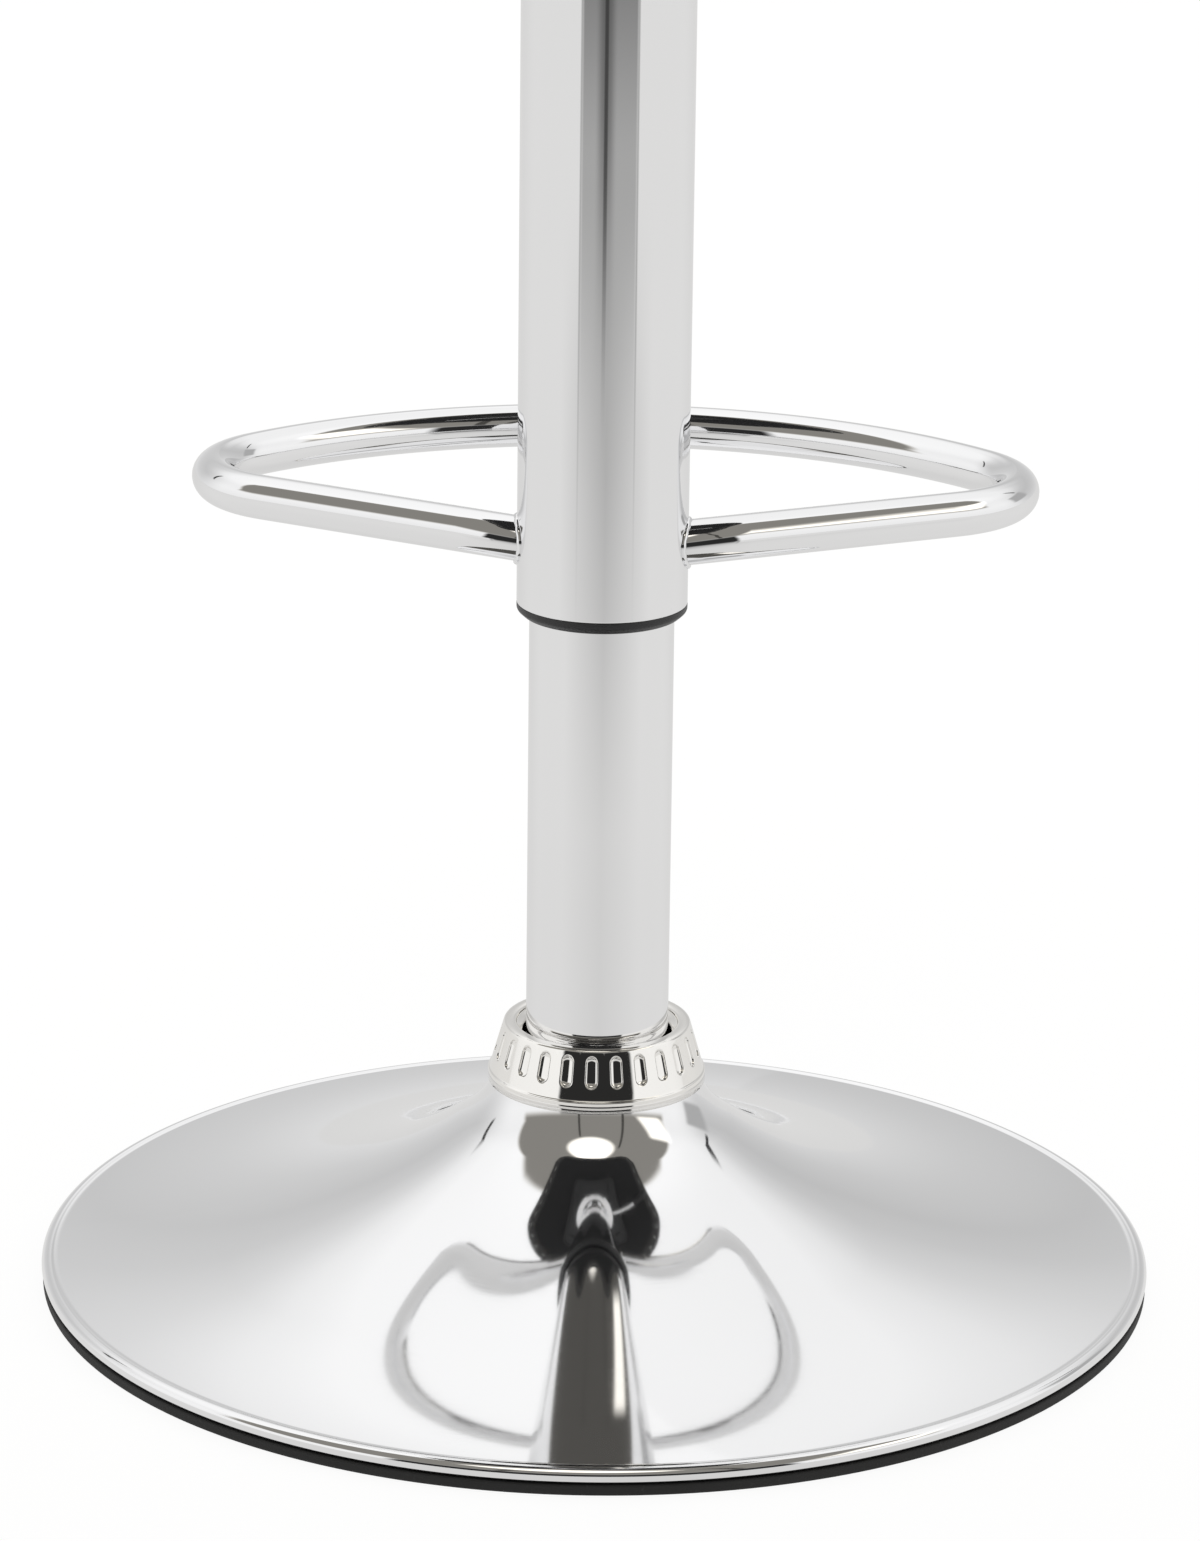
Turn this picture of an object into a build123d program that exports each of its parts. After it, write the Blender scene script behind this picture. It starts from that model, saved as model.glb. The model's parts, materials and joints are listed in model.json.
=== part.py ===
from build123d import *
from math import acos, asin, cos, pi, radians, sin, sqrt
import os

# Gas-lift bar stool with a trumpet base, a slotted trim collar and a footrest loop, in millimetres.
# The origin is on the floor under the column, +Z is up and the footrest reaches towards +Y.

# Clearances
slide_gap = 0.3
seat_gap = 0.1
taper_gap = 0.05
foam_gap = 0.4

# Trumpet base
base_d = 400.0
sheet_t = 1.5
rim_bead_d = 5.8
rim_crease_angle = 120.0
rim_slope = 4.0
flare_r = 331.0
shoulder_d = 180.6
shoulder_r = 187.0
neck_join_d = 97.6
neck_d = 71.8
neck_slope = 75.0
gasket_t = 3.7
gasket_inset = 0.4
gasket_ledge = 8.0
gasket_lip_h = 2.0
gasket_lip_t = 4.0
gasket_round = 0.9
base_plate_t = 4.0
base_plate_inset = 10.0
hub_d = 60.0
hub_collar_h = 6.0

# Trim collar
collar_d = 78.0
collar_t = 1.6
collar_h = 22.0
collar_band_h = 4.4
collar_step = 0.6
collar_top_d = 66.6
collar_top_round = 0.75
collar_mouth_d = 58.0
collar_mouth_lip = 6.5
slot_count = 25
slot_w = 4.2
slot_l = 10.4
slot_depth = 0.9
slot_top_margin = 2.4

# Column
column_d = 51.0
column_t = 1.5
column_foot_d = 48.4
column_foot_l = 82.0
column_lift = 10.3
column_show = 151.1
column_overlap = 188.0
column_floor_t = 4.0
bush_l = 30.0
bush_flange_t = 2.0

# Thrust bearing and gas spring
race_d = 28.0
race_t = 2.0
ball_d = 5.0
ball_count = 10
ball_pitch_d = 19.6
stub_d = 8.0
stub_l = 5.5
clip_d = 15.0
clip_t = 1.5
rod_d = 10.0
piston_l = 16.0
seal_w = 4.0
seal_depth = 2.0
cylinder_d = 28.0
cylinder_t = 1.5
cylinder_tip_d = 26.6
gland_l = 16.0
gland_inset = 2.0
end_block_l = 20.0
bottom_margin = 12.0
stop_margin = 4.0
lift_up = 65.0
lift_down = 140.0

# Sleeve and footrest
sleeve_d = 60.0
sleeve_t = 1.5
sleeve_l = 361.0
ring_show = 4.5
ring_foot_d = 55.0
ring_spigot_l = 24.0
ring_bore_gap = 0.4
footrest_d = 16.0
footrest_t = 1.4
footrest_rise = 22.0
footrest_reach = 170.0
footrest_front_r = 185.0
footrest_corner_r = 40.0
footrest_bar_angle = 27.0

# Cover dish, cap, socket, bracket and seat plate
dish_d = 116.0
dish_t = 1.2
dish_flat_d = 72.0
dish_h = 30.0
dish_notch_w = 15.0
dish_notch_h = 20.0
cap_t = 3.3
cap_spigot_l = 16.0
bracket_l = 72.0
bracket_w = 44.0
bracket_h = 26.5
bracket_t = 2.5
socket_d = 38.0
socket_l = 38.0
socket_recess = 1.5
seat_plate_w = 160.0
seat_plate_t = 2.5
seat_plate_rim = 4.0
seat_plate_corner = 20.0

# Lever and release pin
lever_d = 9.0
lever_drop = 9.0
lever_pivot_x = 28.6
lever_bend_x = 40.0
lever_bend_r = 25.0
lever_slope = 12.0
lever_tail = 5.0
lever_end_x = 172.0
lever_boss_d = 13.0
lever_boss_l = 30.0
lever_pin_d = 5.0
lever_pin_head_d = 10.0
lever_pin_head_t = 2.0
lever_play = 0.7
grip_d = 13.0
grip_l = 48.0
grip_tip = 5.0
grip_round = 2.0
press_travel = 4.0
release_pin_d = 6.0
release_pin_l = 22.0
release_head_d = 9.0
release_head_t = 2.4
release_head_round = 2.0

# Seat and its bolts
seat_w = 390.0
seat_h = 92.0
seat_back = 190.0
seat_front = 168.0
seat_bow_r = 240.0
seat_corner = 60.0
seat_crown_r = 900.0
seat_edge_r = 24.0
seat_cover_t = 1.2
seat_hem_w = 24.0
board_t = 12.0
cloth_t = 1.2
bolt_pitch = 120.0
bolt_d = 7.8
bolt_l = 12.0
bolt_head_w = 13.0
bolt_head_t = 5.3
washer_d = 17.0
washer_t = 1.6
nut_d = 10.0
nut_flange_d = 20.0
nut_flange_t = 1.5
nut_l = 10.0

# Radii used by several pieces
column_r = column_d / 2
column_bore_r = column_r - column_t
sleeve_r = sleeve_d / 2
sleeve_bore_r = sleeve_r - sleeve_t
cylinder_r = cylinder_d / 2
cylinder_bore_r = cylinder_r - cylinder_t
neck_r = neck_d / 2

# Trumpet curve: the slope angle grows along a wide flare arc, a tighter shoulder arc and the neck arc.
bead_r = rim_bead_d / 2
bead_x = base_d / 2 - bead_r
bead_z = gasket_t + bead_r
crease_x = bead_x + bead_r * cos(radians(rim_crease_angle))
crease_z = bead_z + bead_r * sin(radians(rim_crease_angle))
rim_angle = radians(rim_slope)
shoulder_x = shoulder_d / 2
shoulder_angle = asin(sin(rim_angle) + (crease_x - shoulder_x) / flare_r)
shoulder_z = crease_z + flare_r * (cos(rim_angle) - cos(shoulder_angle))
join_x = neck_join_d / 2
join_angle = asin(sin(shoulder_angle) + (shoulder_x - join_x) / shoulder_r)
join_z = shoulder_z + shoulder_r * (cos(shoulder_angle) - cos(join_angle))
neck_angle = radians(neck_slope)
neck_bend_r = (join_x - neck_r) / (sin(neck_angle) - sin(join_angle))
neck_top_z = join_z + neck_bend_r * (cos(join_angle) - cos(neck_angle))
flare_arc = (crease_x, crease_z, flare_r, rim_angle, shoulder_angle)
shoulder_arc = (shoulder_x, shoulder_z, shoulder_r, shoulder_angle, join_angle)
neck_arc = (join_x, join_z, neck_bend_r, join_angle, neck_angle)

# Heights of the lower half
plate_r = crease_x - base_plate_inset
collar_bore_r = collar_d / 2 - collar_t
collar_angle = asin(sin(join_angle) + (join_x - collar_bore_r) / neck_bend_r)
collar_z = join_z + neck_bend_r * (cos(join_angle) - cos(collar_angle))
collar_top_z = collar_z + collar_h
column_z = gasket_t + column_lift
column_floor_z = column_z + column_floor_t
race_z = column_floor_z + race_t
upper_race_z = race_z + ball_d + slide_gap
rod_z = upper_race_z + race_t
cylinder_z = rod_z + lift_down + bottom_margin
gland_z = cylinder_z + gland_inset
piston_z = gland_z + gland_l + lift_up + stop_margin

# Heights of the upper half
ring_z = collar_top_z + column_show
sleeve_z = ring_z + ring_show
column_top_z = ring_z + column_overlap
footrest_z = sleeve_z + footrest_rise
sleeve_top_z = sleeve_z + sleeve_l
cap_z = sleeve_top_z + dish_t
bracket_z = cap_z + cap_t
seat_plate_z = bracket_z + bracket_h
lever_z = seat_plate_z - lever_drop
pin_top_z = lever_z - lever_d / 2 - lever_play
cylinder_top_z = pin_top_z - release_head_t - press_travel - slide_gap
socket_top_z = cylinder_top_z - socket_recess
socket_z = socket_top_z - socket_l
cloth_z = seat_plate_z + seat_plate_t
board_z = cloth_z + cloth_t
board_top_z = board_z + board_t
seat_top_z = board_z + seat_h


def spun(outline):
    """Revolve a closed outline of radius and height about the stool's axis."""
    return revolve(Plane.XZ * make_face(outline), Axis.Z)


def tube(outer_r, inner_r, low, high):
    """A plain ring between two heights."""
    return spun(Polyline((inner_r, low), (outer_r, low), (outer_r, high), (inner_r, high), close=True))


def disc(radius, low, high):
    """A plain round bar between two heights."""
    upright = (Align.CENTER, Align.CENTER, Align.MIN)
    return Pos(0, 0, low) * Cylinder(radius, high - low, align=upright)


def block(width, depth, low, high, corner):
    """A rectangular plate with rounded corners between two heights."""
    return Pos(0, 0, low) * extrude(RectangleRounded(width, depth, corner), high - low)


def bolt_places():
    """The four corners of the bolt square."""
    return GridLocations(bolt_pitch, bolt_pitch, 2, 2)


def trumpet_point(bend, share, depth):
    """A point at a share of one of the trumpet's arcs, set inwards by depth."""
    start_x, start_z, bend_r, start_angle, end_angle = bend
    angle = start_angle + share * (end_angle - start_angle)
    centre_x = start_x + bend_r * sin(start_angle)
    centre_z = start_z + bend_r * cos(start_angle)
    radius = bend_r + depth
    return (centre_x - radius * sin(angle), centre_z - radius * cos(angle))


def trumpet_arcs(depth):
    """The three arcs of the trumpet, from the rim to the neck's edge."""
    bends = (flare_arc, shoulder_arc, neck_arc)
    return [ThreePointArc(*(trumpet_point(bend, share, depth) for share in (0, 0.5, 1))) for bend in bends]


def make_base_shell():
    """Sheet of the trumpet with its rolled rim."""
    outer = trumpet_arcs(0)
    inner = trumpet_arcs(sheet_t)
    neck_edge = Line(outer[-1] @ 1, inner[-1] @ 1)
    rim_edge = Line(inner[0] @ 0, outer[0] @ 0)
    sheet = make_face([*outer, neck_edge, *inner, rim_edge])
    bead = Pos(bead_x, bead_z) * Circle(bead_r)
    return revolve(Plane.XZ * (sheet + bead), Axis.Z)


def make_base_gasket():
    """Rubber ring under the rim, with a ledge for the plate and a lip behind the bead."""
    outer_r = base_d / 2 - gasket_inset
    inner_r = plate_r - gasket_ledge
    lip_r = plate_r + seat_gap
    body = tube(outer_r, inner_r, 0, gasket_t)
    lip = tube(lip_r + gasket_lip_t, lip_r, gasket_t, gasket_t + gasket_lip_h)
    body = fillet(body.edges().filter_by(GeomType.CIRCLE).group_by(Axis.Z)[0], gasket_round)
    return body + lip


def make_base_plate():
    """Flat steel disc that gives the base its weight."""
    return tube(plate_r, hub_d / 2 + seat_gap, gasket_t, gasket_t + base_plate_t)


def column_radius(height):
    """Outer radius of the column, which tapers towards its foot."""
    share = min(1.0, max(0.0, (height - column_z) / column_foot_l))
    return column_foot_d / 2 + share * (column_r - column_foot_d / 2)


def make_hub_tube():
    """Tapered socket, with a collar at its top that fills the shell's neck."""
    hub_r = hub_d / 2
    collar_r = trumpet_point(neck_arc, 1, sheet_t)[0] - seat_gap
    low_bore = column_foot_d / 2 + taper_gap
    top_bore = column_radius(neck_top_z) + taper_gap
    outline = Polyline(
        (low_bore, gasket_t),
        (hub_r, gasket_t),
        (hub_r, neck_top_z - hub_collar_h),
        (collar_r, neck_top_z - hub_collar_h),
        (collar_r, neck_top_z),
        (top_bore, neck_top_z),
        (low_bore, column_z),
        close=True,
    )
    return spun(outline)


def make_trim_collar():
    """Conical collar with a plain foot band, a turned-down mouth and a ring of recessed slots."""
    foot_r = collar_d / 2
    top_r = collar_top_d / 2
    mouth_r = collar_mouth_d / 2
    band_z = collar_z + collar_band_h
    cone_r = foot_r - collar_step
    fall = (cone_r - top_r) / (collar_top_z - band_z)
    outline = Polyline(
        (foot_r - collar_t, collar_z),
        (foot_r, collar_z),
        (foot_r, band_z),
        (cone_r, band_z),
        (top_r, collar_top_z),
        (mouth_r, collar_top_z),
        (mouth_r, collar_top_z - collar_mouth_lip),
        (mouth_r + collar_t, collar_top_z - collar_mouth_lip),
        (mouth_r + collar_t, collar_top_z - collar_t),
        (top_r - collar_t, collar_top_z - collar_t),
        (cone_r - collar_t, band_z),
        close=True,
    )
    collar = spun(outline)
    top_edges = collar.edges().filter_by(GeomType.CIRCLE).group_by(Axis.Z)[-1]
    collar = fillet(top_edges, collar_top_round)
    slot_z = collar_top_z - slot_top_margin - slot_l / 2
    slot_r = cone_r - fall * (slot_z - band_z)
    wall = Plane(
        origin=(0, -slot_r, slot_z),
        x_dir=(1, 0, 0),
        z_dir=(0, -1, fall),
    )
    stadium = Rotation(0, 0, 90) * SlotOverall(slot_l, slot_w)
    cutter = extrude(wall * stadium, slot_depth, both=True)
    for index in range(slot_count):
        collar -= Rotation(0, 0, index * 360 / slot_count) * cutter
    return collar


def make_column_tube():
    """Lower tube, tapered at its foot where it wedges into the hub."""
    foot_r = column_foot_d / 2
    shoulder_z = column_z + column_foot_l
    outline = Polyline(
        (foot_r - column_t, column_z),
        (foot_r, column_z),
        (column_r, shoulder_z),
        (column_r, column_top_z),
        (column_bore_r, column_top_z),
        (column_bore_r, shoulder_z),
        close=True,
    )
    return spun(outline)


def make_column_floor():
    """Disc in the column's foot that the bearing stands on."""
    floor_r = column_foot_d / 2 - column_t - seat_gap
    return tube(floor_r, stub_d / 2 + slide_gap, column_z, column_floor_z)


def make_column_bush():
    """Guide in the column's mouth with a flange on its edge."""
    bore_r = cylinder_r + slide_gap
    body = tube(column_bore_r - seat_gap, bore_r, column_top_z - bush_l, column_top_z)
    return body + tube(column_r, bore_r, column_top_z, column_top_z + bush_flange_t)


def make_bearing_lower_race():
    """Washer on the column's floor."""
    return tube(race_d / 2, stub_d / 2 + slide_gap, column_floor_z, race_z)


def make_bearing_balls():
    """Ring of loose balls between the races."""
    ball = Pos(ball_pitch_d / 2, 0, race_z + ball_d / 2) * Sphere(ball_d / 2)
    return Compound(children=[Rotation(0, 0, k * 360 / ball_count) * ball for k in range(ball_count)])


def make_bearing_upper_race():
    """Washer under the rod's shoulder."""
    return tube(race_d / 2, stub_d / 2 + seat_gap, upper_race_z, rod_z)


def make_piston_rod():
    """Rod with a stub at its foot that turns in the column's floor, and a stud in the piston."""
    stub = disc(stub_d / 2, column_z - stub_l, rod_z)
    rod = disc(rod_d / 2, rod_z, piston_z)
    stud = disc(stub_d / 2, piston_z, piston_z + piston_l)
    return stub + rod + stud


def make_rod_clip():
    """Ring under the column's floor that keeps the rod in."""
    clip_top = column_z - slide_gap
    return tube(clip_d / 2, stub_d / 2 + seat_gap, clip_top - clip_t, clip_top)


def make_piston():
    """Piston on the rod's stud, grooved for its seal."""
    piston_r = cylinder_bore_r - slide_gap
    groove_z = piston_z + (piston_l - seal_w) / 2
    body = tube(piston_r, stub_d / 2 + seat_gap, piston_z, piston_z + piston_l)
    return body - tube(cylinder_bore_r, piston_r - seal_depth, groove_z, groove_z + seal_w)


def make_piston_seal():
    """Rubber ring in the piston's groove."""
    seal_r = cylinder_bore_r - slide_gap
    seal_z = piston_z + (piston_l - seal_w) / 2
    return tube(seal_r, seal_r - seal_depth + seat_gap, seal_z, seal_z + seal_w)


def make_gas_cylinder():
    """Pressure tube, tapered where it wedges into the seat's socket, with a bored end block."""
    block_z = cylinder_top_z - end_block_l
    outline = Polyline(
        (cylinder_bore_r, cylinder_z),
        (cylinder_r, cylinder_z),
        (cylinder_r, socket_z),
        (cylinder_tip_d / 2, cylinder_top_z),
        (release_pin_d / 2 + slide_gap, cylinder_top_z),
        (release_pin_d / 2 + slide_gap, block_z),
        (cylinder_bore_r, block_z),
        close=True,
    )
    return spun(outline)


def make_cylinder_gland():
    """Seal block in the cylinder's mouth, which the rod slides through."""
    return tube(cylinder_bore_r - seat_gap, rod_d / 2 + slide_gap, gland_z, gland_z + gland_l)


def make_sleeve_tube():
    """Upper tube that hides the gas spring and carries the footrest."""
    return tube(sleeve_r, sleeve_bore_r, sleeve_z, sleeve_top_z)


def make_sleeve_ring():
    """Plastic ring on the sleeve's lower edge, with a spigot that guides it on the column."""
    bore_r = column_r + ring_bore_gap
    spigot_r = sleeve_bore_r - seat_gap
    outline = Polyline(
        (bore_r, ring_z),
        (ring_foot_d / 2, ring_z),
        (sleeve_r, ring_z + ring_show / 2),
        (sleeve_r, sleeve_z),
        (spigot_r, sleeve_z),
        (spigot_r, sleeve_z + ring_spigot_l),
        (bore_r, sleeve_z + ring_spigot_l),
        close=True,
    )
    return spun(outline)


def footrest_path():
    """Centre line of the loop, from inside the sleeve: a bar, a corner arc, the front arc and back."""
    along = Vector(cos(radians(footrest_bar_angle)), sin(radians(footrest_bar_angle)))
    inward = Vector(-along.Y, along.X)
    root = Vector(sleeve_r, 0)
    front_centre = Vector(0, footrest_reach - footrest_front_r)
    reach = footrest_front_r - footrest_corner_r
    offset = root + inward * footrest_corner_r - front_centre
    lead = offset.dot(along)
    bar_l = sqrt(lead**2 - offset.dot(offset) + reach**2) - lead
    centre = root + along * bar_l + inward * footrest_corner_r
    bar_end = root + along * bar_l
    front_end = front_centre + (centre - front_centre).normalized() * footrest_front_r
    halfway = ((bar_end - centre) + (front_end - centre)).normalized()
    corner = centre + halfway * footrest_corner_r
    start = root - along * (sleeve_r / 2)
    front = (0, footrest_reach)

    def other(point):
        return (-point.X, point.Y)

    edges = [
        Line(start, bar_end),
        ThreePointArc(bar_end, corner, front_end),
        ThreePointArc(front_end, front, other(front_end)),
        ThreePointArc(other(front_end), other(corner), other(bar_end)),
        Line(other(bar_end), other(start)),
    ]
    return Wire(edges)


def make_footrest_loop():
    """Bent tube, its two ends coped to the sleeve."""
    path = footrest_path()
    ring = Circle(footrest_d / 2) - Circle(footrest_d / 2 - footrest_t)
    section = Plane(origin=path @ 0, z_dir=path % 0) * ring
    loop = Pos(0, 0, footrest_z) * sweep(section, path=path)
    return loop - disc(sleeve_r, footrest_z - footrest_d, footrest_z + footrest_d)


def make_plate_cover():
    """Round dish on the sleeve's top, notched for the lever."""
    hole_r = sleeve_bore_r
    flat_r = dish_flat_d / 2
    outer_r = dish_d / 2
    bend_r = outer_r - flat_r
    inner_bend_r = bend_r - dish_t
    bend_z = sleeve_top_z + bend_r
    slant = sqrt(0.5)
    outer_mid = (flat_r + bend_r * slant, bend_z - bend_r * slant)
    inner_mid = (flat_r + inner_bend_r * slant, bend_z - inner_bend_r * slant)
    top_z = sleeve_top_z + dish_h
    outline = [
        Line((hole_r, sleeve_top_z), (flat_r, sleeve_top_z)),
        ThreePointArc((flat_r, sleeve_top_z), outer_mid, (outer_r, bend_z)),
        Line((outer_r, bend_z), (outer_r, top_z)),
        Line((outer_r, top_z), (outer_r - dish_t, top_z)),
        Line((outer_r - dish_t, top_z), (outer_r - dish_t, bend_z)),
        ThreePointArc((outer_r - dish_t, bend_z), inner_mid, (flat_r, cap_z)),
        Line((flat_r, cap_z), (hole_r, cap_z)),
        Line((hole_r, cap_z), (hole_r, sleeve_top_z)),
    ]
    notch = Pos(outer_r, 0, top_z) * Box(dish_d / 2, dish_notch_w, 2 * dish_notch_h)
    return spun(outline) - notch


def make_sleeve_cap():
    """Flange over the dish and the sleeve, with a spigot that centres them on the socket."""
    bore_r = socket_d / 2 + seat_gap
    flange = tube(sleeve_r, bore_r, cap_z, bracket_z)
    return flange + tube(sleeve_bore_r - seat_gap, bore_r, cap_z - cap_spigot_l, cap_z)


def make_taper_socket():
    """Tube whose tapered bore takes the gas spring."""
    slope = (cylinder_r - cylinder_tip_d / 2) / (cylinder_top_z - socket_z)
    top_bore = cylinder_r - slope * socket_l + taper_gap
    outline = Polyline(
        (cylinder_r + taper_gap, socket_z),
        (socket_d / 2, socket_z),
        (socket_d / 2, socket_top_z),
        (top_bore, socket_top_z),
        close=True,
    )
    return spun(outline)


def make_lever_bracket():
    """Channel under the seat plate, open towards the lever."""
    body = Box(bracket_l, bracket_w, bracket_h)
    space = Pos(0, 0, bracket_t) * Box(bracket_l, bracket_w - 2 * bracket_t, bracket_h)
    channel = Pos(0, 0, bracket_z + bracket_h / 2) * (body - space)
    channel -= disc(socket_d / 2 + seat_gap, bracket_z, bracket_z + bracket_t)
    return channel - lever_bar(lever_pin_d / 2 + seat_gap, bracket_w)


def lever_bar(radius, length):
    """Round bar along the lever's pivot axis."""
    return Pos(lever_pivot_x, 0, lever_z) * Rotation(90, 0, 0) * Cylinder(radius, length)


def make_lever_pin():
    """Pivot through both cheeks of the bracket, with a rivet head outside each."""
    head_r = lever_pin_head_d / 2
    length = bracket_w + 2 * lever_pin_head_t
    heads = lever_bar(head_r, length) - lever_bar(head_r, bracket_w)
    return lever_bar(lever_pin_d / 2, length) + heads


def lever_path():
    """Centre line of the lever, from its tail over the pin to its outer end."""
    drop = (lever_end_x - lever_bend_x) * sin(radians(lever_slope)) / cos(radians(lever_slope))
    points = [(-lever_tail, 0, lever_z), (lever_bend_x, 0, lever_z), (lever_end_x, 0, lever_z - drop)]
    return FilletPolyline(*points, radius=lever_bend_r)


def make_lever_rod():
    """Bent rod with a cross boss at its pivot."""
    path = lever_path()
    section = Plane(origin=path @ 0, z_dir=path % 0) * Circle(lever_d / 2)
    rod = sweep(section, path=path) + lever_bar(lever_boss_d / 2, lever_boss_l)
    return rod - lever_bar(lever_pin_d / 2 + seat_gap, lever_boss_l)


def make_lever_grip():
    """Plastic grip pushed on the lever's end."""
    path = lever_path()
    along = path % 1
    grip_r = grip_d / 2
    outline = Polyline((0, grip_tip), (grip_r, grip_tip), (grip_r, -grip_l), (0, -grip_l), close=True)
    grip = revolve(Plane.XZ * make_face(outline), Axis.Z)
    grip = fillet(grip.edges().filter_by(GeomType.CIRCLE), grip_round)
    upright = (Align.CENTER, Align.CENTER, Align.MAX)
    grip -= Cylinder(lever_d / 2 + taper_gap, grip_l, align=upright)
    return Plane(origin=path @ 1, z_dir=along) * grip


def make_release_pin():
    """Push pin of the valve, with a rounded head under the lever."""
    head_z = pin_top_z - release_head_t
    head = disc(release_head_d / 2, head_z, pin_top_z)
    head = fillet(head.edges().group_by(Axis.Z)[-1], release_head_round)
    return head + disc(release_pin_d / 2, pin_top_z - release_pin_l, head_z)


def make_seat_plate():
    """Stamped plate with a turned-down rim and four bolt holes."""
    outer = block(seat_plate_w, seat_plate_w, seat_plate_z - seat_plate_rim, cloth_z, seat_plate_corner)
    inner_w = seat_plate_w - 2 * seat_plate_t
    inner_corner = seat_plate_corner - seat_plate_t
    plate = outer - block(inner_w, inner_w, seat_plate_z - seat_plate_rim, seat_plate_z, inner_corner)
    hole = disc(bolt_d / 2 + slide_gap, seat_plate_z, cloth_z)
    return plate - [place * hole for place in bolt_places()]


def make_plate_washers():
    """Washers under the bolt heads."""
    ring = tube(washer_d / 2, bolt_d / 2 + slide_gap, seat_plate_z - washer_t, seat_plate_z)
    return Compound(children=[place * ring for place in bolt_places()])


def make_plate_bolts():
    """Hexagon bolts from below into the board's nuts."""
    head_z = seat_plate_z - washer_t - bolt_head_t
    hexagon = RegularPolygon(bolt_head_w / 2, 6, major_radius=False)
    head = Pos(0, 0, head_z) * extrude(hexagon, bolt_head_t)
    shank_z = seat_plate_z - washer_t
    bolt = head + disc(bolt_d / 2, shank_z, shank_z + bolt_l)
    return Compound(children=[place * bolt for place in bolt_places()])


def make_t_nuts():
    """Flanged nuts let into the board's top."""
    bore_r = bolt_d / 2 + seat_gap
    flange = tube(nut_flange_d / 2, bore_r, board_top_z - nut_flange_t, board_top_z)
    nut = flange + tube(nut_d / 2, bore_r, board_top_z - nut_l, board_top_z - nut_flange_t)
    return Compound(children=[place * nut for place in bolt_places()])


def make_dust_cloth():
    """Black cloth under the board, inside the cover's hem and holed for the bolts."""
    cloth = cushion_slab(seat_hem_w + seat_gap, cloth_z, board_z)
    hole = disc(bolt_d / 2 + slide_gap, cloth_z, board_z)
    return cloth - [place * hole for place in bolt_places()]


def make_seat_board():
    """Plywood board with four stepped holes for the nuts."""
    board = cushion_slab(seat_cover_t + seat_gap, board_z, board_top_z)
    hole = disc(nut_d / 2 + seat_gap, board_z, board_top_z)
    recess = disc(nut_flange_d / 2 + seat_gap, board_top_z - nut_flange_t, board_top_z)
    return board - [place * (hole + recess) for place in bolt_places()]


def cushion_slab(inset, low, high):
    """Flat slab with the seat's outline, set inwards by inset: straight back and sides, bowed front."""
    corner = seat_corner - inset
    side_x = seat_w / 2 - inset
    corner_x = seat_w / 2 - seat_corner
    rear_y = seat_corner - seat_back
    turn = acos(corner_x / (seat_bow_r - seat_corner))
    front_y = seat_front - seat_bow_r + (seat_bow_r - seat_corner) * sin(turn)

    def bend(centre_y, angle):
        return (corner_x + corner * cos(angle), centre_y + corner * sin(angle))

    right = [
        ThreePointArc(bend(rear_y, -pi / 2), bend(rear_y, -pi / 4), bend(rear_y, 0)),
        Line((side_x, rear_y), (side_x, front_y)),
        ThreePointArc(bend(front_y, 0), bend(front_y, turn / 2), bend(front_y, turn)),
    ]
    front_end = bend(front_y, turn)
    bow = ThreePointArc(front_end, (0, seat_front - inset), (-front_end[0], front_end[1]))
    back = Line((-corner_x, inset - seat_back), (corner_x, inset - seat_back))
    left = [mirror(edge, about=Plane.YZ) for edge in right]
    return Pos(0, 0, low) * extrude(make_face([back, *right, bow, *left]), high - low)


def cushion(inset, low):
    """Crowned seat form, set inwards by inset: a slab from low up, cut by a wide dome, its top edge round."""
    dome = Pos(0, 0, seat_top_z - seat_crown_r) * Rotation(0, 90, 0) * Sphere(seat_crown_r - inset)
    form = cushion_slab(inset, low, seat_top_z) & dome
    top_edges = form.faces().sort_by(Axis.Z)[-1].edges()
    return fillet(top_edges, seat_edge_r - inset)


def make_seat_cover():
    """Faux-leather skin over the foam and the board's sides, with a hem turned under the board."""
    skin = cushion(0, cloth_z) - cushion(seat_cover_t, board_z)
    return skin - cushion_slab(seat_hem_w, cloth_z, board_z)


def make_seat_foam():
    """Foam block between the board and the cover."""
    return cushion(seat_cover_t + foam_gap, board_top_z)


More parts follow.
